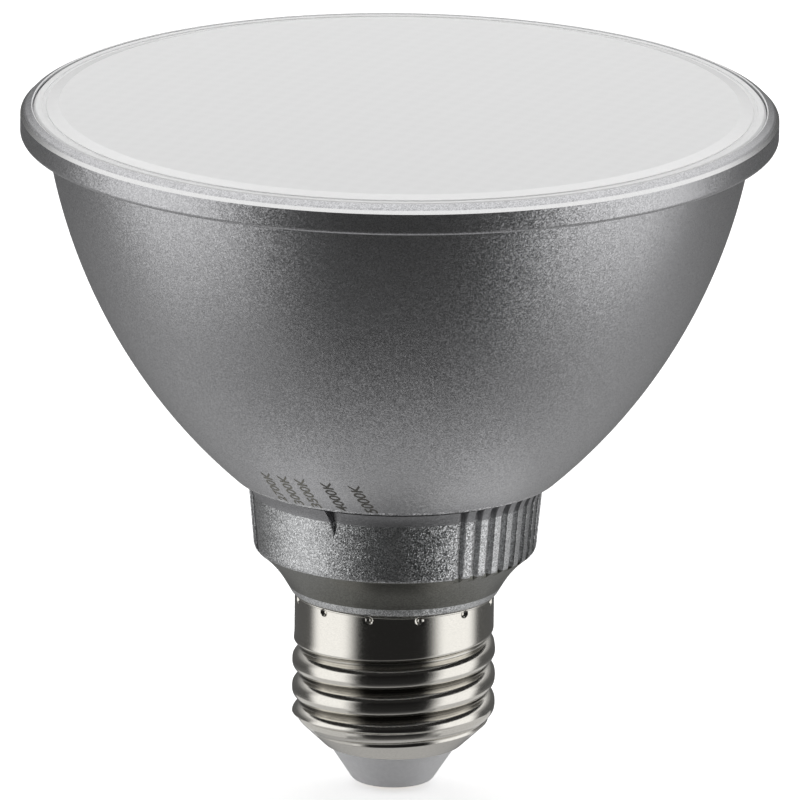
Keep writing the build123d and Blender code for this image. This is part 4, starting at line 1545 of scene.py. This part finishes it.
@dataclass(frozen=True)
class Softbox:
    """A square studio lamp with a diffuser, aimed at the lamp's middle.

    Attributes:
        name: Name of the lamp.
        azimuth_deg: Angle round the lamp from the camera's side, to its right.
        elevation_deg: Angle above the horizon.
        distance: Distance from the lamp's middle.
        width: Width of the diffuser.
        height: Height of the diffuser.
        glow: Brightness of the diffuser, where 1 shows as white.
    """

    name: str
    azimuth_deg: float
    elevation_deg: float
    distance: float
    width: float
    height: float
    glow: float

    def build(self, camera_deg: float, middle_z: float) -> None:
        """Makes the lamp.

        Args:
            camera_deg: The camera's angle round the lamp.
            middle_z: Height of the lamp's middle.
        """
        way = way_to(self.azimuth_deg + camera_deg, self.elevation_deg)
        data = bpy.data.lights.new(self.name, "AREA")
        data.shape = "RECTANGLE"
        data.size = self.width * MM
        data.size_y = self.height * MM
        data.energy = self.glow * math.pi * data.size * data.size_y
        lamp = linked(self.name, data)
        lamp.location = (way * self.distance + Vector((0, 0, middle_z))) * MM
        lamp.rotation_mode = "QUATERNION"
        lamp.rotation_quaternion = (-way).to_track_quat("-Z", "Y")
        lamp.visible_glossy = False


@dataclass(frozen=True)
class Card:
    """A flat ring of card on the set, seen only by shiny surfaces and only from its own side.

    Attributes:
        name: Name of the card.
        z: Its height.
        inner_r: Its inner radius.
        outer_r: Its outer radius.
        reach_deg: Angles from the camera between which it reaches, on both sides.
        glow: Brightness of the card, where 1 shows as white.
        hangs: Whether it faces down.
        columns: Number of columns of corners on each side.
    """

    name: str
    z: float
    inner_r: float
    outer_r: float
    reach_deg: tuple[float, float]
    glow: float
    hangs: bool
    columns: int = 33

    def build(self, camera_deg: float) -> None:
        """Makes the card.

        Args:
            camera_deg: The camera's angle round the lamp.
        """
        corners: list[Vector] = []
        faces: list[list[int]] = []
        for side in (-1, 1):
            run = np.radians(camera_deg + side * np.linspace(*self.reach_deg, self.columns) - 90)
            for step, turn in enumerate(run):
                if step:
                    start = len(corners) - 2
                    order = [start, start + 1, start + 3, start + 2]
                    faces.append(order if (side > 0) != self.hangs else order[::-1])
                for r in (self.inner_r, self.outer_r):
                    corners.append(Vector((r * math.cos(turn), r * math.sin(turn), self.z)) * MM)
        mesh = bpy.data.meshes.new(self.name)
        mesh.from_pydata(corners, [], faces)
        card = linked(self.name, mesh)
        for kind in ("camera", "diffuse", "transmission", "shadow", "volume_scatter"):
            setattr(card, f"visible_{kind}", False)
        material, tree = blank_material(f"card_{self.name}")
        material.cycles.emission_sampling = "NONE"
        behind = add_node(tree, "NewGeometry").outputs["Backfacing"]
        face = add_node(tree, "Emission", {"Strength": self.glow}).outputs["Emission"]
        clear = add_node(tree, "BsdfTransparent").outputs["BSDF"]
        end_surface(tree, add_node(tree, "MixShader", links={0: behind, 1: face, 2: clear}).outputs["Shader"])
        mesh.materials.append(material)


@dataclass(frozen=True)
class Surround:
    """What the silver and the nickel see round the lamp: bright side walls, a dark front and a dark low back.

    Each wall is a list of greys from the ground to the zenith, by elevation in degrees.

    Attributes:
        front: The wall with the camera.
        side: The two walls beside it.
        back: The wall behind the lamp.
        front_edge_deg: Angles from the camera between which the front turns into a side.
        back_edge_deg: Angles from the camera between which a side turns into the back.
        glow: Brightness of a white wall in shiny surfaces.
        fill: Brightness of a white wall as light on matt surfaces.
    """

    front: Wall = (
        (-90, "#B4B4B4"), (-80, "#939393"), (-70, "#676767"), (-60, "#474747"),
        (-35, "#2A2A2A"), (0, "#191919"), (44, "#191919"), (60, "#FFFFFF"),
    )
    side: Wall = (
        (-90, "#B4B4B4"), (-72, "#909090"), (-58, "#808080"), (-46, "#949494"), (-36, "#D1D1D1"), (-25, "#FFFFFF"),
    )
    back: Wall = (
        (-60, "#A8A8A8"), (-46, "#A0A0A0"), (-36, "#949494"), (-27, "#7C7C7C"),
        (-16, "#505050"), (8, "#5C5C5C"), (20, "#A0A0A0"), (30, "#FFFFFF"),
    )
    front_edge_deg: tuple[float, float] = (38.0, 62.0)
    back_edge_deg: tuple[float, float] = (96.0, 116.0)
    glow: float = 1.25
    fill: float = 0.6

    def colour(self, tree: Tree, camera_deg: float) -> Socket:
        """Works out the grey in each direction.

        Args:
            tree: Node tree of the world.
            camera_deg: The camera's angle round the lamp.

        Returns:
            The grey as a colour output.
        """
        way = add_node(tree, "TexCoord").outputs["Generated"]
        turn = {"rotation_type": "Z_AXIS", "Angle": -math.radians(camera_deg)}
        faced = add_node(tree, "VectorRotate", turn, {"Vector": way}).outputs["Vector"]
        parts = add_node(tree, "SeparateXYZ", links={0: faced}).outputs
        aside = add_node(tree, "Math", {"operation": "ABSOLUTE"}, {0: parts["X"]}).outputs["Value"]
        ahead = add_node(tree, "Math", {"operation": "MULTIPLY", 1: -1.0}, {0: parts["Y"]}).outputs["Value"]
        angle = add_node(tree, "Math", {"operation": "ARCTAN2"}, {0: aside, 1: ahead}).outputs["Value"]
        rise = add_node(tree, "Math", {"operation": "ARCSINE"}, {0: parts["Z"]}).outputs["Value"]
        height = add_range(tree, rise, (-math.pi / 2, math.pi / 2))
        grey, *others = [
            add_ramp(tree, height, [degrees / 180 + 0.5 for degrees, _ in wall], [colour for _, colour in wall])
            for wall in (self.front, self.side, self.back)
        ]
        for wall, edge_deg in zip(others, (self.front_edge_deg, self.back_edge_deg)):
            edge = (math.radians(edge_deg[0]), math.radians(edge_deg[1]))
            share = add_range(tree, angle, edge, kind="SMOOTHSTEP")
            grey = add_node(tree, "MixRGB", links={0: share, 1: grey, 2: wall}).outputs["Color"]
        return grey


@dataclass
class Studio:
    """A white floor, soft lamps, a surround and the cards near the lamp."""

    floor_half: float = 4000.0
    floor_colour: str = "#E8E8E8"
    floor_lift: float = 0.6
    middle_z: float = 50.0
    surround: Surround = Surround()
    softboxes: tuple[Softbox, ...] = (
        Softbox("left_softbox", -76.0, 12.0, 700.0, 620.0, 500.0, 1.3),
        Softbox("right_softbox", 76.0, 12.0, 700.0, 620.0, 500.0, 1.3),
        Softbox("top_softbox", 180.0, 56.0, 520.0, 460.0, 460.0, 1.98),
    )
    cards: tuple[Card, ...] = (
        Card("floor_reflector", 0.2, 15.0, 40.0, (45.0, 130.0), 0.65, hangs=False),
        Card("hanging_flag", 62.0, 38.0, 95.0, (0.0, 180.0), 0.02, hangs=True),
    )

    def build_floor(self) -> None:
        """Makes the floor, which shows white and keeps the lamp's shadow."""
        half = self.floor_half * MM
        corners = [(-half, -half, 0), (half, -half, 0), (half, half, 0), (-half, half, 0)]
        mesh = bpy.data.meshes.new("floor")
        mesh.from_pydata(corners, [], [(0, 1, 2, 3)])
        floor = linked("floor", mesh)
        floor.visible_glossy = False
        material, tree = blank_material("paper_sweep_white")
        seen = add_node(tree, "LightPath").outputs["Is Camera Ray"]
        matte = add_node(tree, "BsdfDiffuse", {"Color": linear(self.floor_colour)}).outputs["BSDF"]
        lift = add_node(tree, "Emission", {"Strength": self.floor_lift}).outputs["Emission"]
        lifted = add_node(tree, "AddShader", links={0: matte, 1: lift}).outputs["Shader"]
        end_surface(tree, add_node(tree, "MixShader", links={0: seen, 1: matte, 2: lifted}).outputs["Shader"])
        mesh.materials.append(material)

    def build_surround(self, camera_deg: float) -> None:
        """Makes the world: white to the eye, walls in shiny surfaces, and a softer fill for the rest.

        Args:
            camera_deg: The camera's angle round the lamp.
        """
        world = bpy.data.worlds.new("surround")
        bpy.context.scene.world = world
        world.use_nodes = True
        tree = world.node_tree
        tree.nodes.clear()
        path = add_node(tree, "LightPath").outputs
        walls = self.surround.colour(tree, camera_deg)
        fill, shine = (
            add_node(tree, "Background", {"Strength": strength}, {"Color": walls}).outputs["Background"]
            for strength in (self.surround.fill, self.surround.glow)
        )
        white = add_node(tree, "Background", {"Color": linear("#FFFFFF"), "Strength": 1.0}).outputs["Background"]
        shade = fill
        for ray, light in (("Is Glossy Ray", shine), ("Is Transmission Ray", shine), ("Is Camera Ray", white)):
            shade = add_node(tree, "MixShader", links={0: path[ray], 1: shade, 2: light}).outputs["Shader"]
        add_node(tree, "OutputWorld", links={"Surface": shade})

    def build(self, camera_deg: float) -> None:
        """Builds the whole studio.

        Args:
            camera_deg: The camera's angle round the lamp.
        """
        self.build_floor()
        self.build_surround(camera_deg)
        for softbox in self.softboxes:
            softbox.build(camera_deg, self.middle_z)
        for card in self.cards:
            card.build(camera_deg)
        bpy.context.scene.view_settings.view_transform = "Standard"


def main() -> None:
    """Builds the lamp's pieces in order, then the camera and the studio."""
    logging.basicConfig(level=logging.INFO, format="%(name)s: %(message)s")
    bowl = BowlHousing()
    bowl.build()
    FrontLens().build()
    SelectorCollar().build()
    ScrewShell().build()
    BaseEnd().build()
    PrintedScale(bowl).build()
    InnerPieces().dress()
    camera = PhotoCamera()
    camera.build()
    Studio().build(camera.azimuth_deg)


if __name__ == "__main__":
    main()
